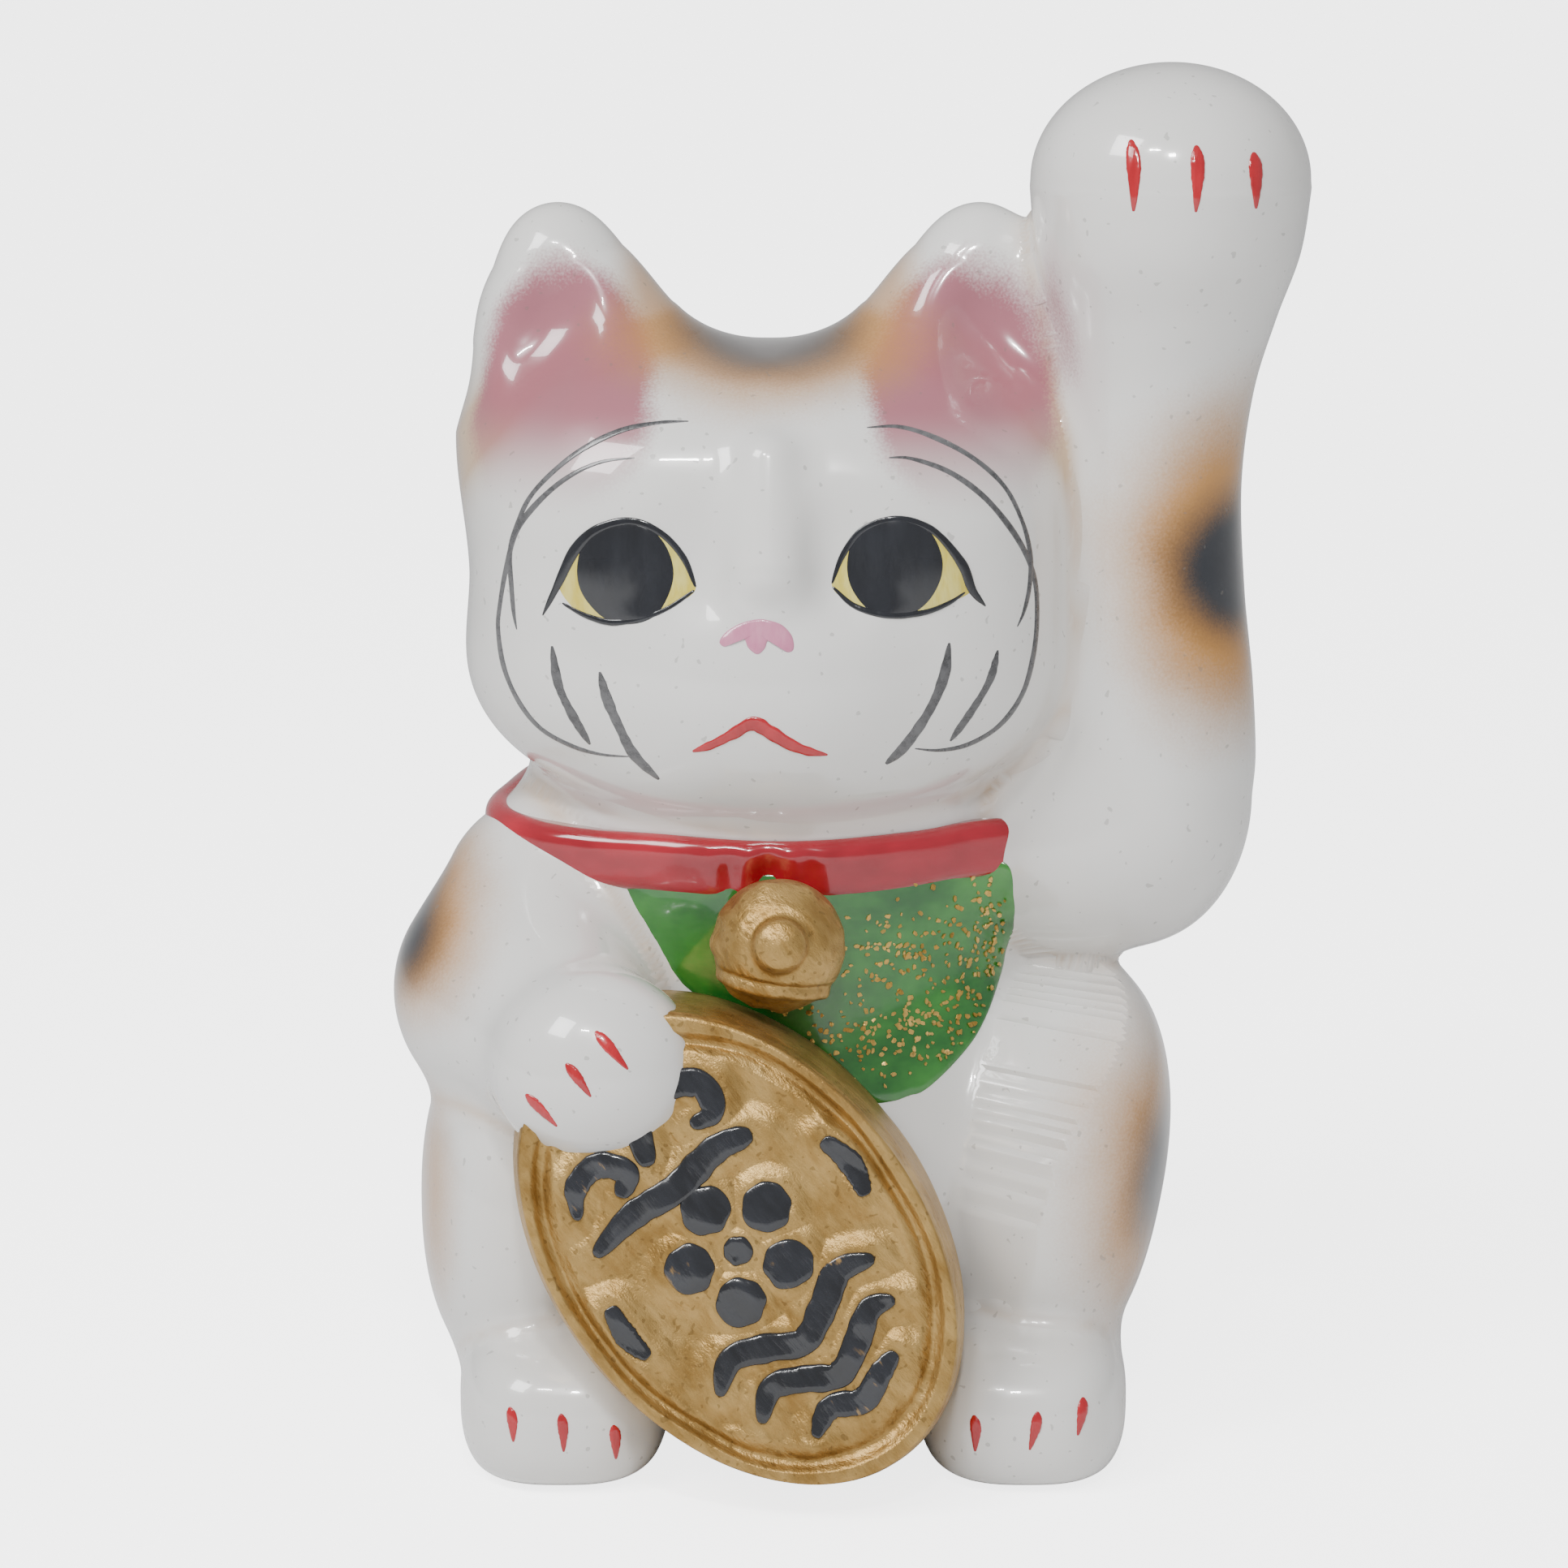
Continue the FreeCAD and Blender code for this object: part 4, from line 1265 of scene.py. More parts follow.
def turned_surface(profile: Array, middle: Array, around: int) -> Array:
    """Turns a profile of (radius, height) rows about an upright axis through a middle."""
    turn = np.linspace(0.0, 2 * math.pi, around, endpoint=False)
    radius = profile[:, 0][:, None]
    return np.stack([middle[0] + radius * np.cos(turn), middle[1] + radius * np.sin(turn),
                     np.broadcast_to(profile[:, 1][:, None], (len(profile), around))], -1)


# ---------------------------------------------------------------- the face


@dataclass
class Eye:
    """One eye: yellow corners, a black pupil and brushed lids."""

    name: str
    upper: tuple[tuple[float, float], ...]
    lower: tuple[tuple[float, float], ...]
    pupil: tuple[float, float]
    size: tuple[float, float]
    upper_widths: tuple[float, ...]
    lower_widths: tuple[float, ...]

    def build(self, brush: Brushwork, palette: Palette) -> None:
        """Lays the yellow, the pupil and the lids, each over the one before."""
        opening = np.vstack([self.upper[1:], self.lower[::-1][1:-1]])
        middle = opening.mean(0)
        yellow = skin(f"{self.name}_yellow", brush.pool(spline(opening, 120, True), middle, 0.14))
        yellow.data.materials.append(palette.yellow)
        turn = np.linspace(0.0, 2 * math.pi, 110, endpoint=False)
        uneven = 1.0 + 0.012 * ripple(turn, 5, 2, 6)
        disc = np.array(self.pupil) + np.stack([self.size[0] * np.cos(turn),
                                               self.size[1] * np.sin(turn)], -1) * uneven[:, None]
        pupil = skin(f"{self.name}_pupil", brush.pool(disc, self.pupil, 0.5, 26, 3.0))
        pupil.data.materials.append(palette.black)
        lids = join([
            skin(f"{self.name}_lids", brush.stroke(self.upper, self.upper_widths, 0.34, 90)),
            skin(f"{self.name}_lower", brush.stroke(self.lower, self.lower_widths, 0.28, 60)),
        ])
        lids.data.materials.append(palette.black)
        for piece in (yellow, pupil, lids):
            settle(piece, FIGURINE, Slot.WHITE)


@dataclass
class Face:
    """The painted face: eyes, whisker lines, nose and mouth."""

    lines: tuple[tuple[float, tuple[tuple[float, float], ...]], ...] = (
        (0.8, ((-12.6, 158.3), (-17.7, 158.0), (-23.2, 156.8), (-28.7, 154.1), (-33.1, 150.7),
               (-36.6, 146.8), (-38.6, 142.5), (-39.7, 138.3), (-39.5, 133.4), (-39.2, 129.5),
               (-38.7, 126.8))),
        (0.85, ((-20.2, 153.3), (-25.9, 152.5), (-30.9, 150.1), (-35.3, 146.3), (-38.6, 141.8),
                (-40.3, 136.0), (-41.4, 130.2), (-41.7, 126.3), (-40.8, 120.8), (-38.5, 115.8),
                (-35.3, 112.1), (-30.8, 109.9), (-26.3, 109.0), (-21.3, 109.1))),
        (1.5, ((-33.4, 125.5), (-32.5, 119.7), (-30.6, 115.3), (-27.8, 110.3))),
        (1.7, ((-26.3, 122.2), (-25.2, 118.0), (-23.3, 113.4), (-21.3, 109.4), (-17.5, 105.4))),
        (0.75, ((12.4, 157.4), (17.7, 157.4), (23.1, 155.7), (28.7, 152.6), (33.2, 148.4),
                (35.9, 143.2), (37.2, 138.2), (37.2, 133.7), (36.4, 129.9), (35.2, 127.3))),
        (0.9, ((15.6, 153.3), (19.3, 153.1), (24.8, 151.1), (29.7, 147.6), (33.6, 143.1),
               (36.5, 138.3), (38.1, 133.5), (38.4, 127.8), (37.8, 122.4), (36.2, 117.0),
               (32.9, 112.6), (28.4, 110.1), (23.9, 109.6), (19.5, 110.4))),
        (1.7, ((25.1, 126.4), (24.3, 121.3), (22.2, 116.2), (18.6, 110.8), (15.7, 108.0))),
        (1.3, ((32.4, 124.6), (31.2, 120.1), (28.3, 115.2), (25.3, 110.8))),
    )
    nose: tuple[tuple[float, float], ...] = (
        (-3.1, 130.7), (-5.6, 130.0), (-7.6, 128.8), (-8.6, 127.4), (-7.8, 126.7), (-6.3, 127.6),
        (-5.0, 127.8), (-4.4, 126.6), (-3.1, 125.7), (-2.0, 126.5), (-1.5, 127.6), (-0.2, 127.2),
        (1.2, 126.0), (2.2, 126.4), (2.0, 128.2), (0.6, 129.8), (-1.2, 130.5),
    )
    mouth: tuple[tuple[float, float], ...] = (
        (-12.8, 110.6), (-9.8, 111.9), (-6.9, 113.6), (-3.8, 115.4), (-1.4, 114.2),
        (1.6, 112.2), (4.2, 111.0), (7.4, 110.2),
    )
    mouth_widths: tuple[float, ...] = (0.6, 1.4, 1.5, 2.0, 2.3, 2.2, 1.7, 1.5, 0.5)

    def eyes(self) -> list[Eye]:
        """Gives the two eyes; an upper lid starts or ends in a flick outside the eye."""
        right = Eye(
            "right_eye",
            ((-34.9, 129.4), (-32.3, 134.7), (-29.7, 139.9), (-26.4, 143.0), (-21.5, 144.3),
             (-17.2, 142.6), (-13.9, 139.0), (-12.0, 134.5)),
            ((-31.9, 131.9), (-29.9, 130.9), (-27.6, 130.0), (-24.4, 129.4), (-20.4, 130.1),
             (-16.1, 131.8), (-12.0, 134.5)),
            (-22.4, 136.7), (7.3, 7.5),
            (0.4, 1.3, 1.7, 1.4, 1.1, 1.0, 1.0, 0.7), (0.4, 0.6, 0.9, 1.0, 0.8, 0.6, 0.6),
        )
        left = Eye(
            "left_eye",
            ((30.6, 131.0), (28.4, 133.8), (26.9, 137.6), (23.5, 142.0), (20.3, 144.0),
             (16.5, 144.6), (12.2, 143.0), (9.4, 139.4), (7.7, 135.0)),
            ((27.6, 133.7), (24.8, 132.0), (21.0, 130.8), (16.0, 130.7), (11.1, 132.1),
             (7.7, 135.0)),
            (17.0, 137.6), (7.2, 7.3),
            (0.4, 1.4, 1.5, 1.1, 1.0, 1.0, 1.0, 0.9, 0.6), (0.4, 0.7, 0.9, 1.0, 0.8, 0.5),
        )
        return [right, left]

    def build(self, brush: Brushwork, palette: Palette) -> None:
        """Paints the face."""
        for eye in self.eyes():
            eye.build(brush, palette)
        strokes = []
        for number, (width, path) in enumerate(self.lines):
            widths = width * np.array([0.35, 0.75, 1.0, 0.9, 0.8, 0.95, 1.0, 0.85, 0.4])
            grid = brush.stroke(path, widths, 0.12, 80, 0.07, number)
            strokes.append(skin(f"face_lines_{number}", grid))
        lines = join(strokes)
        lines.name = "face_lines"
        lines.data.materials.append(palette.line)
        nose = skin("nose", brush.pool(spline(self.nose, 110, True), (-3.1, 128.6), 0.3))
        nose.data.materials.append(palette.pink)
        mouth = skin("mouth", brush.stroke(self.mouth, self.mouth_widths, 0.35, 90, 0.08, 3))
        mouth.data.materials.append(palette.claw)
        for piece in (lines, nose):
            settle(piece, FIGURINE, Slot.WHITE)
        settle(mouth, FIGURINE, Slot.RED)


@dataclass
class Claws:
    """The red claws, three to a paw: each has a top and a bottom place."""

    width: float = 2.1
    paws: tuple[tuple[str, tuple[tuple[float, float, float, float], ...]], ...] = (
        ("raised_claws", ((50.9, 199.3, 51.3, 188.6), (60.2, 198.6, 60.2, 188.6),
                          (68.7, 197.4, 69.2, 188.9))),
        ("lowered_claws", ((-26.6, 73.0, -21.6, 67.4), (-30.8, 68.6, -27.0, 63.6),
                           (-36.8, 63.4, -32.0, 58.6))),
        ("right_foot_claws", ((-39.9, 14.0, -39.4, 8.5), (-32.3, 13.4, -31.9, 7.2),
                              (-24.6, 11.2, -24.2, 5.4))),
        ("left_foot_claws", ((29.0, 12.7, 29.2, 6.8), (38.4, 13.7, 37.2, 7.5),
                             (45.2, 15.2, 44.4, 9.4))),
    )

    def build(self, brush: Brushwork, palette: Palette) -> None:
        """Draws each claw as a short leaf-shaped stroke."""
        leaf = self.width * np.array([0.25, 0.75, 1.0, 1.0, 0.8, 0.5, 0.2])
        for name, claws in self.paws:
            drawn = []
            for number, (x0, z0, x1, z1) in enumerate(claws):
                path = [(x0, z0), (x0 * 0.62 + x1 * 0.38 + 0.2, z0 * 0.62 + z1 * 0.38), (x1, z1)]
                widths = leaf * (1.0 if name == "raised_claws" else 0.78)
                drawn.append(skin(f"{name}_{number}", brush.stroke(path, widths, 0.3, 30, 0.06,
                                                                   number)))
            piece = join(drawn)
            piece.name = name
            piece.data.materials.append(palette.claw)
            settle(piece, FIGURINE, Slot.RED)


# ---------------------------------------------------------------- collar, bib and bell


@dataclass
class Collar:
    """The red collar: a raised band round the neck, tight under the chin."""

    tall: float = 9.0
    proud: float = 2.0
    dip: float = 5.0
    rows: int = 360

    def over_clay(self, figurine: Figurine, middle: Array, half: Array, turn: Array,
                  v: Array) -> Array:
        """Finds how much further out than the neck's ellipse the clay lies, up to 7 mm.

        Args:
            figurine: the form.
            middle: the band's middle.
            half: the ellipse's half sizes.
            turn: places round the neck.
            v: places up the band, from -1 to 1.

        Returns:
            The band's mean distance at each place round, smoothed along it, in one column.
        """
        ways = np.stack(np.broadcast_arrays(half[0] * np.cos(turn) + 0.0 * v,
                                            half[1] * np.sin(turn), 0.0), -1)
        reach = np.linalg.norm(ways, axis=-1)
        starts = np.broadcast_to(middle, ways.shape).copy()
        starts[..., 2] += (v * self.tall / 2 + ways[..., 1] * math.sin(math.radians(self.dip)))
        found = cast(figurine.away, starts.reshape(-1, 3), unit(ways).reshape(-1, 3))
        clay = np.linalg.norm(found.reshape(ways.shape) - starts, axis=-1)
        over = np.clip(clay - reach - 1.2, 0.0, 4.6).mean(1) * ramp(-np.sin(turn[:, 0]), -0.2, 0.2)
        weights = np.hanning(31)
        around = np.convolve(np.tile(over, 3), weights / weights.sum(), "same")
        return around[len(over):2 * len(over), None]

    def build(self, figurine: Figurine, palette: Palette) -> None:
        """Carries the band's section round the neck.

        At each place round the neck the section is half a lens: out by the neck's ellipse
        plus the proud height times (1 - |v|^5), pinched to two folds over the bell, and
        then in again 2 mm under the neck.

        Args:
            figurine: the form, which the band lies on.
            palette: the finishes.
        """
        low, high = node_box("collar")
        middle = np.array([(low[0] + high[0]) / 2 + 0.5, 4.0, 93.0])
        half = np.array([39.4, 31.6])
        turn = np.linspace(0.0, 2 * math.pi, self.rows, endpoint=False)[:, None]
        v = np.linspace(-1.0, 1.0, 22)[None, :]
        front = ramp(-np.sin(turn), 0.75, 1.0)
        fold = np.exp(-(((turn - 1.5 * math.pi) * 34.0) ** 2) / 30.0)
        lift = 0.35 * ripple(turn, 8, 1, 5) * front
        out = self.proud * (1.0 - np.abs(v) ** 5) + 0.35 * v * front
        out = out - fold * 1.3 * (1.0 - v**2) * (0.6 + 0.4 * np.cos(turn * 40.0))
        out = out + self.over_clay(figurine, middle, half, turn, v)
        rise = v * (self.tall / 2) * (1.0 + 0.12 * front) + lift
        tilt = math.radians(self.dip)
        outer = [middle[0] + (half[0] + out) * np.cos(turn),
                 middle[1] + (half[1] + out) * np.sin(turn) * np.cos(tilt) - rise * np.sin(tilt),
                 middle[2] + (half[1] + out) * np.sin(turn) * np.sin(tilt) + rise * np.cos(tilt)]
        outer = np.stack(np.broadcast_arrays(*outer), -1)
        inner = outer[:, ::-1].copy()
        centre = np.array([middle[0], middle[1], 0.0])
        inward = unit((centre - inner) * np.array([1.0, 1.0, 0.0]))
        grid = np.concatenate([outer, inner + 3.4 * inward], axis=1)
        collar = skin("collar_band", grid, poles=False)
        collar.data.materials.append(palette.red)
        settle(collar, FIGURINE, Slot.RED, "collar")


@dataclass
class Bib:
    """The green bib under the collar, with gold flakes in its glaze."""

    outline: tuple[tuple[float, float], ...] = (
        (-22.0, 89.2), (-24.0, 87.0), (-23.2, 82.6), (-19.8, 77.6), (-15.9, 73.4), (-9.7, 68.2),
        (0.1, 61.5), (7.5, 57.0), (14.2, 54.3), (19.5, 54.9), (23.5, 56.5), (30.3, 62.8),
        (34.3, 70.8), (36.0, 78.4), (35.6, 85.7), (33.5, 89.6), (20.0, 90.2), (0.0, 90.2),
    )
    middle: tuple[float, float] = (9.0, 76.0)
    thick: float = 0.75
    flakes: int = 430

    def build(self, figurine: Figurine, palette: Palette) -> None:
        """Pools the green on the chest and scatters the flakes."""
        chest = Brushwork(figurine, lambda points: figurine.without("lowered_foreleg_glaze",
                                                                    points))
        edge = spline(self.outline, 260, True)
        turn = np.linspace(0.0, 2 * math.pi, 260, endpoint=False)[:, None]
        edge = edge + 0.16 * ripple(turn[:, 0], 11, 14, 16)[:, None]
        bib = skin("bib_glaze", chest.pool(edge, self.middle, self.thick, 44, 10.0))
        bib.data.materials.append(palette.green)
        settle(bib, FIGURINE, Slot.GREEN, "bib")
        self.scatter(chest, palette)

    def scatter(self, chest: Brushwork, palette: Palette) -> None:
        """Strews thin gold chips over the bib, thickest at its right and lower parts.

        Each chip is a six-sided prism with uneven corners, laid on the surface and tipped
        a little.

        Args:
            chest: places things on the chest.
            palette: the finishes.
        """
        rng = np.random.default_rng(21)
        x = rng.uniform(-8.0, 35.0, 9000)
        z = rng.uniform(56.0, 88.0, 9000)
        clumps = ((31.0, 74.0, 3.4, 7.0, 1.0), (14.0, 64.0, 8.0, 3.2, 1.0),
                  (16.0, 77.0, 4.4, 3.4, 0.9), (24.0, 66.0, 6.0, 5.0, 0.55),
                  (28.0, 82.0, 6.0, 4.0, 0.3), (10.0, 70.0, 14.0, 10.0, 0.12))
        likely = sum(weight * np.exp(-((x - a) / c) ** 2 / 2 - ((z - b) / d) ** 2 / 2)
                     for a, b, c, d, weight in clumps)
        edge = spline(self.outline, 260, True) - np.array(self.middle)
        angle = np.arctan2(z - self.middle[1], x - self.middle[0])
        order = np.argsort(np.arctan2(edge[:, 1], edge[:, 0]))
        reach = np.interp(angle, np.arctan2(edge[order, 1], edge[order, 0]),
                          np.linalg.norm(edge[order], axis=1))
        inside = np.hypot(x - self.middle[0], z - self.middle[1]) < reach - 1.1
        chosen = np.flatnonzero(inside & (rng.uniform(0.0, 1.0, 9000) < likely))[:self.flakes]
        count = len(chosen)
        middle, out = chest.onto(x[chosen], z[chosen])
        out = unit(out + rng.normal(0.0, 0.16, (count, 3)))
        side = unit(np.cross(out, rng.normal(0.0, 1.0, (count, 3))))
        ahead = np.cross(out, side)
        size = rng.uniform(0.26, 0.62, count)[:, None]
        corner = np.linspace(0.0, 2 * math.pi, 6, endpoint=False)[None, :]
        corner = corner + rng.uniform(-0.3, 0.3, (count, 6))
        radius = size * rng.uniform(0.6, 1.15, (count, 6))
        ring = (radius * np.cos(corner))[..., None] * side[:, None, :]
        ring = ring + (radius * 0.75 * np.sin(corner))[..., None] * ahead[:, None, :]
        base = (middle + out * (self.thick - 0.1))[:, None, :] + ring
        points = np.concatenate([base, base + 0.24 * out[:, None, :]], axis=1)
        index = np.arange(count)[:, None] * 12
        corner_index = np.arange(6)[None, :]
        under, top = index + corner_index[:, ::-1], index + 6 + corner_index
        following = (corner_index + 1) % 6
        sides = np.stack(np.broadcast_arrays(index + corner_index, index + following,
                                             index + 6 + following, index + 6 + corner_index), -1)
        flakes = make_mesh("gold_flakes", points.reshape(-1, 3), [under, top,
                                                                  sides.reshape(-1, 4)])
        flakes.data.shade_flat()
        flakes.data.materials.append(palette.flake)
        settle(flakes, FIGURINE, Slot.GOLD)


@dataclass
class Bell:
    """The gilded bell: a flattened ball with a round button and a lip below."""

    middle: Triple = (0.0, -35.0, 81.0)
    radius: float = 9.8

    def build(self, palette: Palette) -> None:
        """Makes the bell as a ball whose radius changes with direction.

        The radius is the ball's, plus a button where the direction is near the button's,
        less a groove across the front below it, plus an uneven gilded edge.

        Args:
            palette: the finishes.
        """
        low, high = node_box("bell")
        middle = np.array([(low[0] + high[0]) / 2, self.middle[1], (low[2] + high[2]) / 2])
        polar = np.linspace(0.0, math.pi, 120)[:, None]
        turn = np.linspace(0.0, 2 * math.pi, 180, endpoint=False)[None, :]
        way = np.stack([np.sin(polar) * np.cos(turn), -np.cos(polar) * np.ones_like(turn),
                        np.sin(polar) * np.sin(turn)], -1)
        aim = unit(np.array([0.02, -1.0, 0.22]))
        angle = np.arccos(np.clip(way @ aim, -1.0, 1.0))
        knob = np.sqrt(np.clip(1.0 - (angle / 0.46) ** 2, 0.0, 1.0))
        radius = self.radius + 2.0 * knob * ramp(0.5 - angle, 0.0, 0.2)
        radius = radius - 0.35 * np.exp(-(((angle - 0.52) / 0.09) ** 2))
        groove = way[..., 2] + 0.46 + 0.16 * way[..., 0]
        radius = radius - 0.55 * np.exp(-((groove / 0.05) ** 2)) * ramp(way[..., 1], 0.0, -0.6)
        radius = radius + 0.5 * np.exp(-(((groove + 0.14) / 0.07) ** 2))
        edge = np.exp(-(((polar - 1.35) / 0.2) ** 2))
        radius = radius + edge * (0.25 + 0.28 * ripple(turn, 4, 5, 13))
        radius = radius + 0.1 * ripple(turn + polar * 2.0, 9, 2, 7) * np.sin(polar)
        bell = skin("bell_gilded", middle + radius[..., None] * way * np.array([1.0, 0.96, 1.0]))
        bell.data.materials.append(palette.gold)
        settle(bell, FIGURINE, Slot.GOLD, "bell")


# ---------------------------------------------------------------- the coin


@dataclass(frozen=True)
class CoinStroke:
    """One brushed stroke of the coin's ornament, in the coin's own plane."""

    path: tuple[tuple[float, float], ...]
    widths: tuple[float, ...]


@dataclass
class Coin:
    """The gilded oval coin with a rim, a hammered face and a raised brushed ornament.

    The ornament is a plum blossom between clouds and waves.
    """

    middle: Triple = (-5.9, -54.0, 39.8)
    half: tuple[float, float] = (27.0, 39.2)
    turn: float = 39.0
    lean: float = 10.0
    strokes: tuple[CoinStroke, ...] = (
        CoinStroke(((-15.5, 18.0), (-12.5, 22.0), (-8.0, 22.5), (-5.5, 19.0), (-8.5, 16.8)),
                   (1.6, 3.6, 4.0, 3.8, 2.6)),
        CoinStroke(((-17.0, 12.5), (-9.0, 13.6), (-1.0, 12.8), (7.0, 13.6), (12.5, 12.0)),
                   (2.4, 4.2, 4.6, 4.4, 3.2)),
        CoinStroke(((-2.5, 17.6), (0.5, 23.5), (6.0, 25.6), (11.0, 22.5), (10.0, 18.2),
                    (6.0, 18.6)), (3.2, 4.2, 4.6, 4.2, 3.6, 2.2)),
        CoinStroke(((-15.8, -15.0), (-11.0, -11.8), (-6.0, -13.6), (-1.0, -16.4),
                    (4.5, -14.2), (9.5, -11.6), (15.0, -13.4)),
                   (2.2, 4.0, 4.4, 4.0, 4.4, 4.2, 2.6)),
        CoinStroke(((-13.5, -22.0), (-9.0, -18.8), (-4.5, -20.6), (0.0, -23.4), (5.0, -21.4),
                    (9.5, -18.8), (13.4, -20.0)),
                   (2.2, 3.8, 4.2, 4.0, 4.2, 3.8, 2.4)),
        CoinStroke(((-8.6, -28.4), (-4.0, -26.4), (0.4, -28.6), (5.0, -27.0), (8.6, -26.0)),
                   (2.0, 3.8, 4.0, 3.6, 2.2)),
        CoinStroke(((-20.0, -4.0), (-20.6, 0.5), (-19.8, 5.5)), (2.0, 3.6, 2.4)),
        CoinStroke(((19.6, -5.5), (20.8, -0.5), (19.8, 5.0)), (2.2, 3.8, 2.4)),
    )
    petal_ring: float = 7.6
    petal: float = 3.7

    def frame(self) -> Array:
        """Gives the coin's own axes as rows: across, back, along."""
        spin, tip = math.radians(-self.turn), math.radians(-self.lean)
        about_y = np.array([[math.cos(spin), 0, math.sin(spin)], [0, 1, 0],
                            [-math.sin(spin), 0, math.cos(spin)]])
        about_x = np.array([[1, 0, 0], [0, math.cos(tip), -math.sin(tip)],
                            [0, math.sin(tip), math.cos(tip)]])
        return (about_x @ about_y).T

    def world(self, across: Array, back: Array, along: Array) -> Array:
        """Turns places in the coin's own axes into the figurine's."""
        local = np.stack(np.broadcast_arrays(across, back, along), -1)
        return np.array(self.middle) + local @ self.frame()

    def petals(self) -> list[tuple[float, float]]:
        """Gives the middles of the blossom's five petals."""
        angles = np.radians(90.0 + 72.0 * np.arange(5))
        return list(zip((self.petal_ring * np.cos(angles)).tolist(),
                        (self.petal_ring * np.sin(angles)).tolist()))

    def ornament_gap(self, across: Array, along: Array) -> Array:
        """Gives the distance from each place on the face to the edge of the ornament."""
        gap = np.full(across.shape, 99.0)
        for stroke in self.strokes:
            line = spline(stroke.path, 40)
            t = np.linspace(0.0, 1.0, 40)
            width = np.interp(t, np.linspace(0.0, 1.0, len(stroke.widths)), stroke.widths)
            apart = np.hypot(across[..., None] - line[:, 0], along[..., None] - line[:, 1])
            gap = np.minimum(gap, (apart - width / 2).min(-1))
        for x, z in self.petals():
            gap = np.minimum(gap, np.hypot(across - x, along - z) - self.petal)
        return np.minimum(gap, np.hypot(across, along) - 2.2)

    def height(self, across: Array, along: Array) -> Array:
        """Gives how far the face stands out at each place.

        It sums a double rim, the hammered hollows (broad waves and bumps that grow towards
        the edge), and soft banks under the ornament.

        Args:
            across: places across the coin.
            along: places along it.

        Returns:
            Heights in millimetres.
        """
        share = np.hypot(across / self.half[0], along / self.half[1])
        uneven = 0.012 * ripple(np.arctan2(along, across), 6, 3, 8)
        rim = 0.95 * ramp(share + uneven, 0.905, 0.94) * (1.0 - 0.4 * ramp(share, 0.97, 1.0))
        groove = -0.5 * np.exp(-(((share + uneven - 0.885) / 0.022) ** 2))
        inner = 0.4 * np.exp(-(((share - uneven - 0.83) / 0.03) ** 2))
        waves = 0.34 * np.sin(across * 0.34 + 1.6 * np.sin(along * 0.16) + 0.5)
        waves = waves * np.sin(along * 0.27 + 0.9 * np.sin(across * 0.23))
        fine = 0.08 * np.sin(across * 0.9 + 2.0 * np.sin(along * 0.3))
        bank = 1.05 * ramp(-self.ornament_gap(across, along), -3.4, -0.2)
        body = (waves + fine) * (1.0 - ramp(share, 0.84, 0.93))
        return 0.3 + rim + groove + inner + body + bank * (1.0 - ramp(share, 0.86, 0.93))

    def plate(self) -> Array:
        """Works out the gilded body of the coin.

        The face is the oval at shares of its size, raised by the height; the side goes
        back 21 mm, widening by 2 mm and wavering, and the back closes inside the belly.
        """
        turn = np.linspace(0.0, 2 * math.pi, 420, endpoint=False)[None, :]
        share = np.concatenate([np.linspace(0.0, 0.8, 110), np.linspace(0.805, 0.985, 46)])[:, None]
        rough = 1.0 + 0.004 * ripple(turn, 3, 2, 9)
        across = share * self.half[0] * np.cos(turn) * rough
        along = share * self.half[1] * np.sin(turn) * rough
        face = self.world(across, -self.height(across, along), along)
        deep = np.array([0.0, 0.35, 1.2, 2.6, 4.4, 7.0, 10.0, 14.0, 18.0, 21.0])[:, None]
        swell = np.array([0.25, 0.42, 0.55, 0.75, 1.15, 1.5, 1.7, 1.9, 2.0, 2.0])[:, None]
        swell = swell + 0.16 * np.sin(deep * 1.3) * ripple(turn, 13, 2, 9)
        side = self.world((self.half[0] - 0.6 + swell) * np.cos(turn), deep - 0.1,
                          (self.half[1] - 0.6 + swell) * np.sin(turn))
        back = self.world(0.0 * turn, 21.0 + 0.0 * turn, 0.0 * turn)
        return np.concatenate([face, side, back])

    def ink(self, grid_across: Array, grid_along: Array, rise: Array) -> Array:
        """Lifts a grid of the ornament off the coin's face."""
        back = -self.height(grid_across, grid_along) - rise
        return self.world(grid_across, back, grid_along)

    def brushed(self, stroke: CoinStroke, seed: int) -> Array:
        """Draws one black stroke on the face with a flat lens section and blunt ends."""
        line = spline(stroke.path, 70)
        ahead = np.gradient(line, axis=0)
        side = unit(np.stack([-ahead[:, 1], ahead[:, 0]], -1))
        t = np.linspace(0.0, 1.0, 70)
        width = np.interp(t, np.linspace(0.0, 1.0, len(stroke.widths)), stroke.widths)
        width = width * (1.0 + 0.05 * ripple(t * 6.0, seed, 3, 11))
        width = width * np.sqrt(np.clip(1.0 - np.abs(2 * t - 1) ** 16, 0.0, 1.0))
        v = np.sin(np.linspace(-math.pi / 2, math.pi / 2, 13))
        flat = line[:, None, :] + side[:, None, :] * (v[None, :, None] * width[:, None, None] / 2)
        lens = 0.5 * np.sqrt(np.maximum(1.0 - v**6, 0.0))[None, :] * np.ones((70, 1))
        top = self.ink(flat[..., 0], flat[..., 1], lens)
        under = self.ink(flat[..., 0], flat[..., 1], -0.4 + 0.0 * lens)
        grid = np.concatenate([top, under[:, ::-1]], axis=1)
        grid[0] = grid[0].mean(0)
        grid[-1] = grid[-1].mean(0)
        return grid

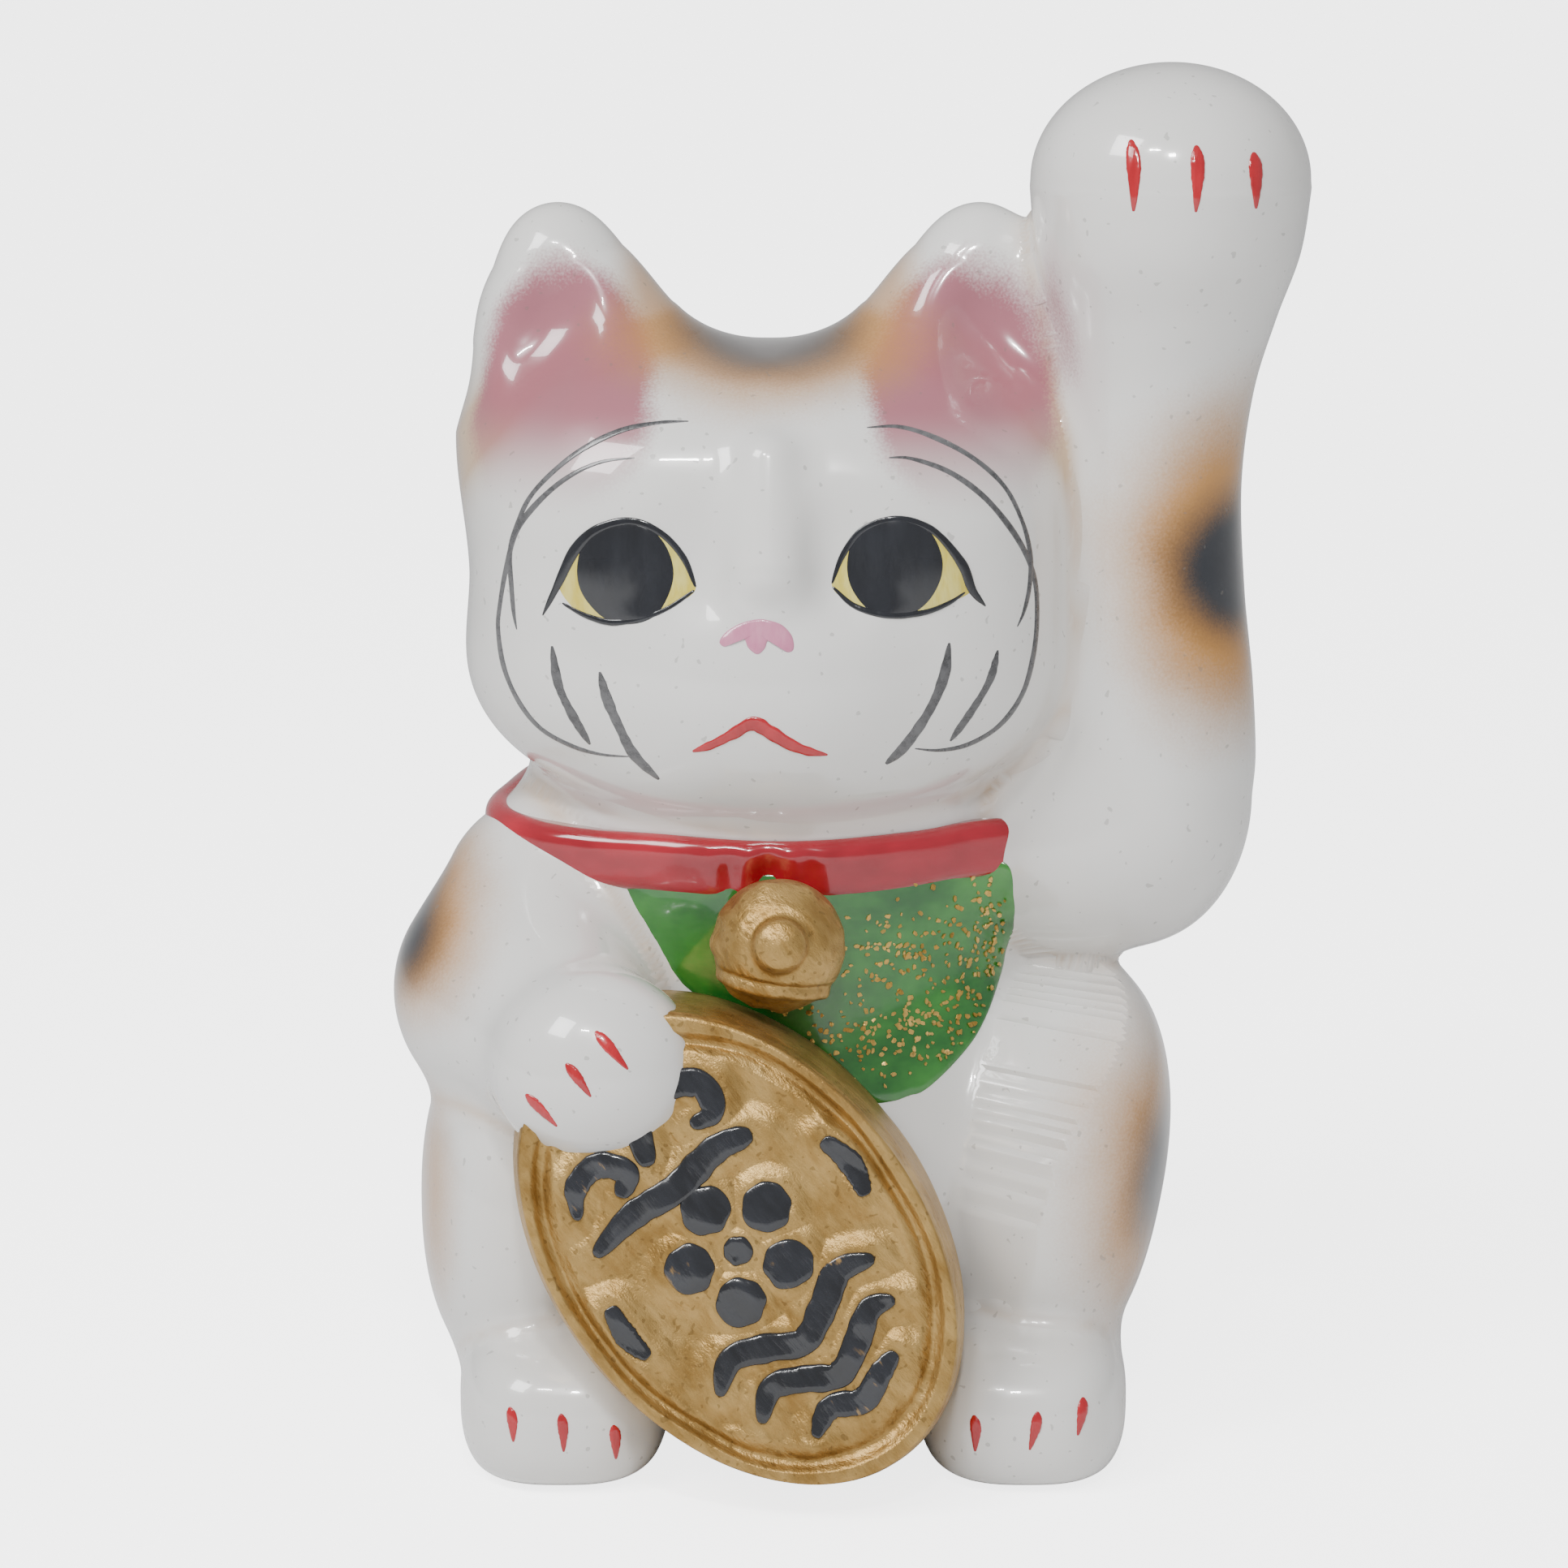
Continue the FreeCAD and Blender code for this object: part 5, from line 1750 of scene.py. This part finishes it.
    def dab(self, x: float, z: float, size: float, seed: int) -> Array:
        """Makes one round black dab of the blossom."""
        turn = np.linspace(0.0, 2 * math.pi, 72, endpoint=False)
        share, lens = lens_rows(16, 5.0)
        radius = size * (1.0 + 0.05 * ripple(turn, seed, 2, 7))
        across = x + share[:, None] * radius * np.cos(turn)
        along = z + share[:, None] * radius * np.sin(turn)
        top = self.ink(across, along, 0.5 * lens[:, None] * np.ones_like(across))
        under = self.ink(across, along, -0.4 + 0.0 * across)
        return np.concatenate([top, under[::-1]])

    def build(self, palette: Palette) -> None:
        """Makes the gilded plate and its black ornament."""
        plate = skin("coin_gilded", self.plate())
        plate.data.materials.append(palette.gold)
        settle(plate, FIGURINE, Slot.GOLD, "koban_coin")
        drawn = [skin(f"coin_stroke_{k}", self.brushed(s, k)) for k, s in enumerate(self.strokes)]
        drawn += [skin(f"coin_petal_{k}", self.dab(x, z, self.petal, 30 + k))
                  for k, (x, z) in enumerate(self.petals())]
        drawn.append(skin("coin_heart", self.dab(0.0, 0.0, 2.2, 40)))
        ornament = join(drawn)
        ornament.name = "coin_ornament"
        ornament.data.materials.append(palette.brush)
        settle(ornament, FIGURINE, Slot.GOLD)


# ---------------------------------------------------------------- the stopper


@dataclass
class StopperPlug:
    """The rubber stopper: a cupped plug with a ribbed barrel and a ringed flange."""

    profile: tuple[tuple[float, float], ...] = (
        (0.0, 1.3), (3.4, 1.3), (4.2, 1.1), (4.7, 0.55), (5.3, 0.42), (9.6, 0.42), (9.9, 0.75),
        (10.6, 0.75), (10.9, 0.42), (14.3, 0.42), (14.85, 0.6), (15.0, 1.0), (14.85, 1.5),
        (14.4, 1.78), (12.9, 1.8), (12.3, 2.1), (12.2, 2.9), (12.42, 3.4), (12.2, 3.9),
        (12.2, 4.8), (12.42, 5.3), (12.2, 5.8), (12.2, 6.8), (12.4, 7.3), (12.1, 7.9),
        (11.6, 8.7), (11.0, 9.0), (9.3, 9.0), (8.7, 8.7), (8.5, 8.0), (8.4, 4.4), (7.8, 3.6),
        (7.0, 3.5), (0.0, 3.5),
    )

    def build(self, palette: Palette) -> None:
        """Turns the smoothed profile about the stopper's own axis."""
        low, _ = node_box("base_stopper")
        rows = spline(self.profile, 150)
        rows[0, 0] = rows[-1, 0] = 0.0
        rows[:, 0] = np.clip(rows[:, 0], 0.0, 15.0)
        rows[:, 1] = np.clip(rows[:, 1], low[2], None)
        middle = np.array([low[0] + 15.0, low[1] + 15.0])
        plug = skin("stopper_plug", turned_surface(rows, middle, 128))
        plug.data.materials.append(palette.rubber)
        settle(plug, STOPPER, Slot.RUBBER, "base_stopper")


# ---------------------------------------------------------------- studio


@dataclass(frozen=True)
class Lamp:
    """A rectangular soft lamp: where it is, what it looks at, its sizes and its power."""

    name: str
    place: Triple
    size: tuple[float, float]
    watts: float
    aim: Triple = (0.0, 0.0, 0.1)


@dataclass
class Studio:
    """The camera, the pale floor, the room's light and the lamps."""

    distance: float = 0.70
    elevation: float = 12.0
    aim: Triple = (0.0008, 0.0, 0.0979)
    lens: float = 103.5
    lamps: tuple[Lamp, ...] = (
        Lamp("soft_key", (-0.62, -0.55, 0.95), (0.42, 0.42), 9.0),
        Lamp("window", (0.02, -0.66, 0.66), (0.075, 0.05), 2.4),
        Lamp("small_lamp", (-0.16, -0.6, 0.74), (0.12, 0.02), 1.6),
    )

    def camera(self) -> None:
        """Places the camera at the viewing angle."""
        tilt = math.radians(self.elevation)
        data = bpy.data.cameras.new("camera")
        data.lens, data.sensor_width = self.lens, 36.0
        camera = bpy.data.objects.new("camera", data)
        camera.location = (self.aim[0], self.aim[1] - self.distance * math.cos(tilt),
                           self.aim[2] + self.distance * math.sin(tilt))
        camera.rotation_euler = (math.pi / 2 - tilt, 0.0, 0.0)
        bpy.context.scene.collection.objects.link(camera)
        bpy.context.scene.camera = camera

    def floor(self) -> None:
        """Lays a pale sweep: flat in front, and rising in a smooth curve far behind.

        Its height is 0 up to 1 m behind the figure and then (y - 1)^2 * 0.6.
        """
        x, y = np.meshgrid(np.linspace(-4.0, 4.0, 41), np.linspace(-3.0, 4.0, 71), indexing="ij")
        z = 0.6 * np.maximum(y - 1.0, 0.0) ** 2 - 0.0004
        index = np.arange(x.size).reshape(x.shape)
        faces = np.stack([index[:-1, :-1], index[1:, :-1], index[1:, 1:], index[:-1, 1:]], -1)
        mesh = bpy.data.meshes.new("floor")
        mesh.from_pydata(np.stack([x, y, z], -1).reshape(-1, 3).tolist(), [],
                         faces.reshape(-1, 4).tolist())
        mesh.shade_smooth()
        floor = bpy.data.objects.new("floor", mesh)
        bpy.context.scene.collection.objects.link(floor)
        material, tree, shader, position = start_material("paper_floor")
        grain = tree.noise(position, 500.0, 3.0)
        tree.feed(shader.inputs["Base Color"], tree.mix(grain, colour("F4F4F4"),
                                                        colour("FAFAFA")))
        set_values(shader, Roughness=0.9, Emission_Color=(1.0, 1.0, 1.0, 1.0))
        seen = tree.add("ShaderNodeLightPath").outputs["Is Camera Ray"]
        tree.feed(shader.inputs["Emission Strength"], tree.math("MULTIPLY", seen, 3.4))
        mesh.materials.append(material)

    def light(self) -> None:
        """Sets the room's light and the lamps."""
        world = bpy.data.worlds.new("room")
        world.use_nodes = True
        tree = Tree(world.node_tree)
        light = tree.add("ShaderNodeBackground", Color=(1.0, 1.0, 1.0, 1.0), Strength=0.5)
        shown = tree.add("ShaderNodeBackground", Color=(1.0, 1.0, 1.0, 1.0), Strength=10.0)
        path = tree.add("ShaderNodeLightPath").outputs["Is Camera Ray"]
        mix = tree.add("ShaderNodeMixShader")
        tree.feed(mix.inputs[0], path)
        tree.feed(mix.inputs[1], light.outputs[0])
        tree.feed(mix.inputs[2], shown.outputs[0])
        output = tree.add("ShaderNodeOutputWorld")
        tree.feed(output.inputs["Surface"], mix.outputs[0])
        bpy.context.scene.world = world
        for lamp in self.lamps:
            data = bpy.data.lights.new(lamp.name, "AREA")
            data.shape, data.energy = "RECTANGLE", lamp.watts
            data.size, data.size_y = lamp.size
            item = bpy.data.objects.new(lamp.name, data)
            item.location = lamp.place
            away = np.array(lamp.place) - np.array(lamp.aim)
            level = math.hypot(away[0], away[1])
            item.rotation_euler = (math.atan2(level, away[2]), 0.0,
                                   math.atan2(away[1], away[0]) + math.pi / 2)
            bpy.context.scene.collection.objects.link(item)


def main() -> None:
    """Builds the studio and the figurine, piece by piece."""
    logging.basicConfig(level=logging.INFO, format="%(message)s")
    studio = Studio()
    studio.camera()
    studio.floor()
    studio.light()
    palette = Palette()
    figurine = Figurine()
    Pottery(figurine, palette).build()
    brush = Brushwork(figurine)
    Face().build(brush, palette)
    Claws().build(brush, palette)
    Collar().build(figurine, palette)
    Bib().build(figurine, palette)
    Bell().build(palette)
    Coin().build(palette)
    StopperPlug().build(palette)


if __name__ == "__main__":
    main()
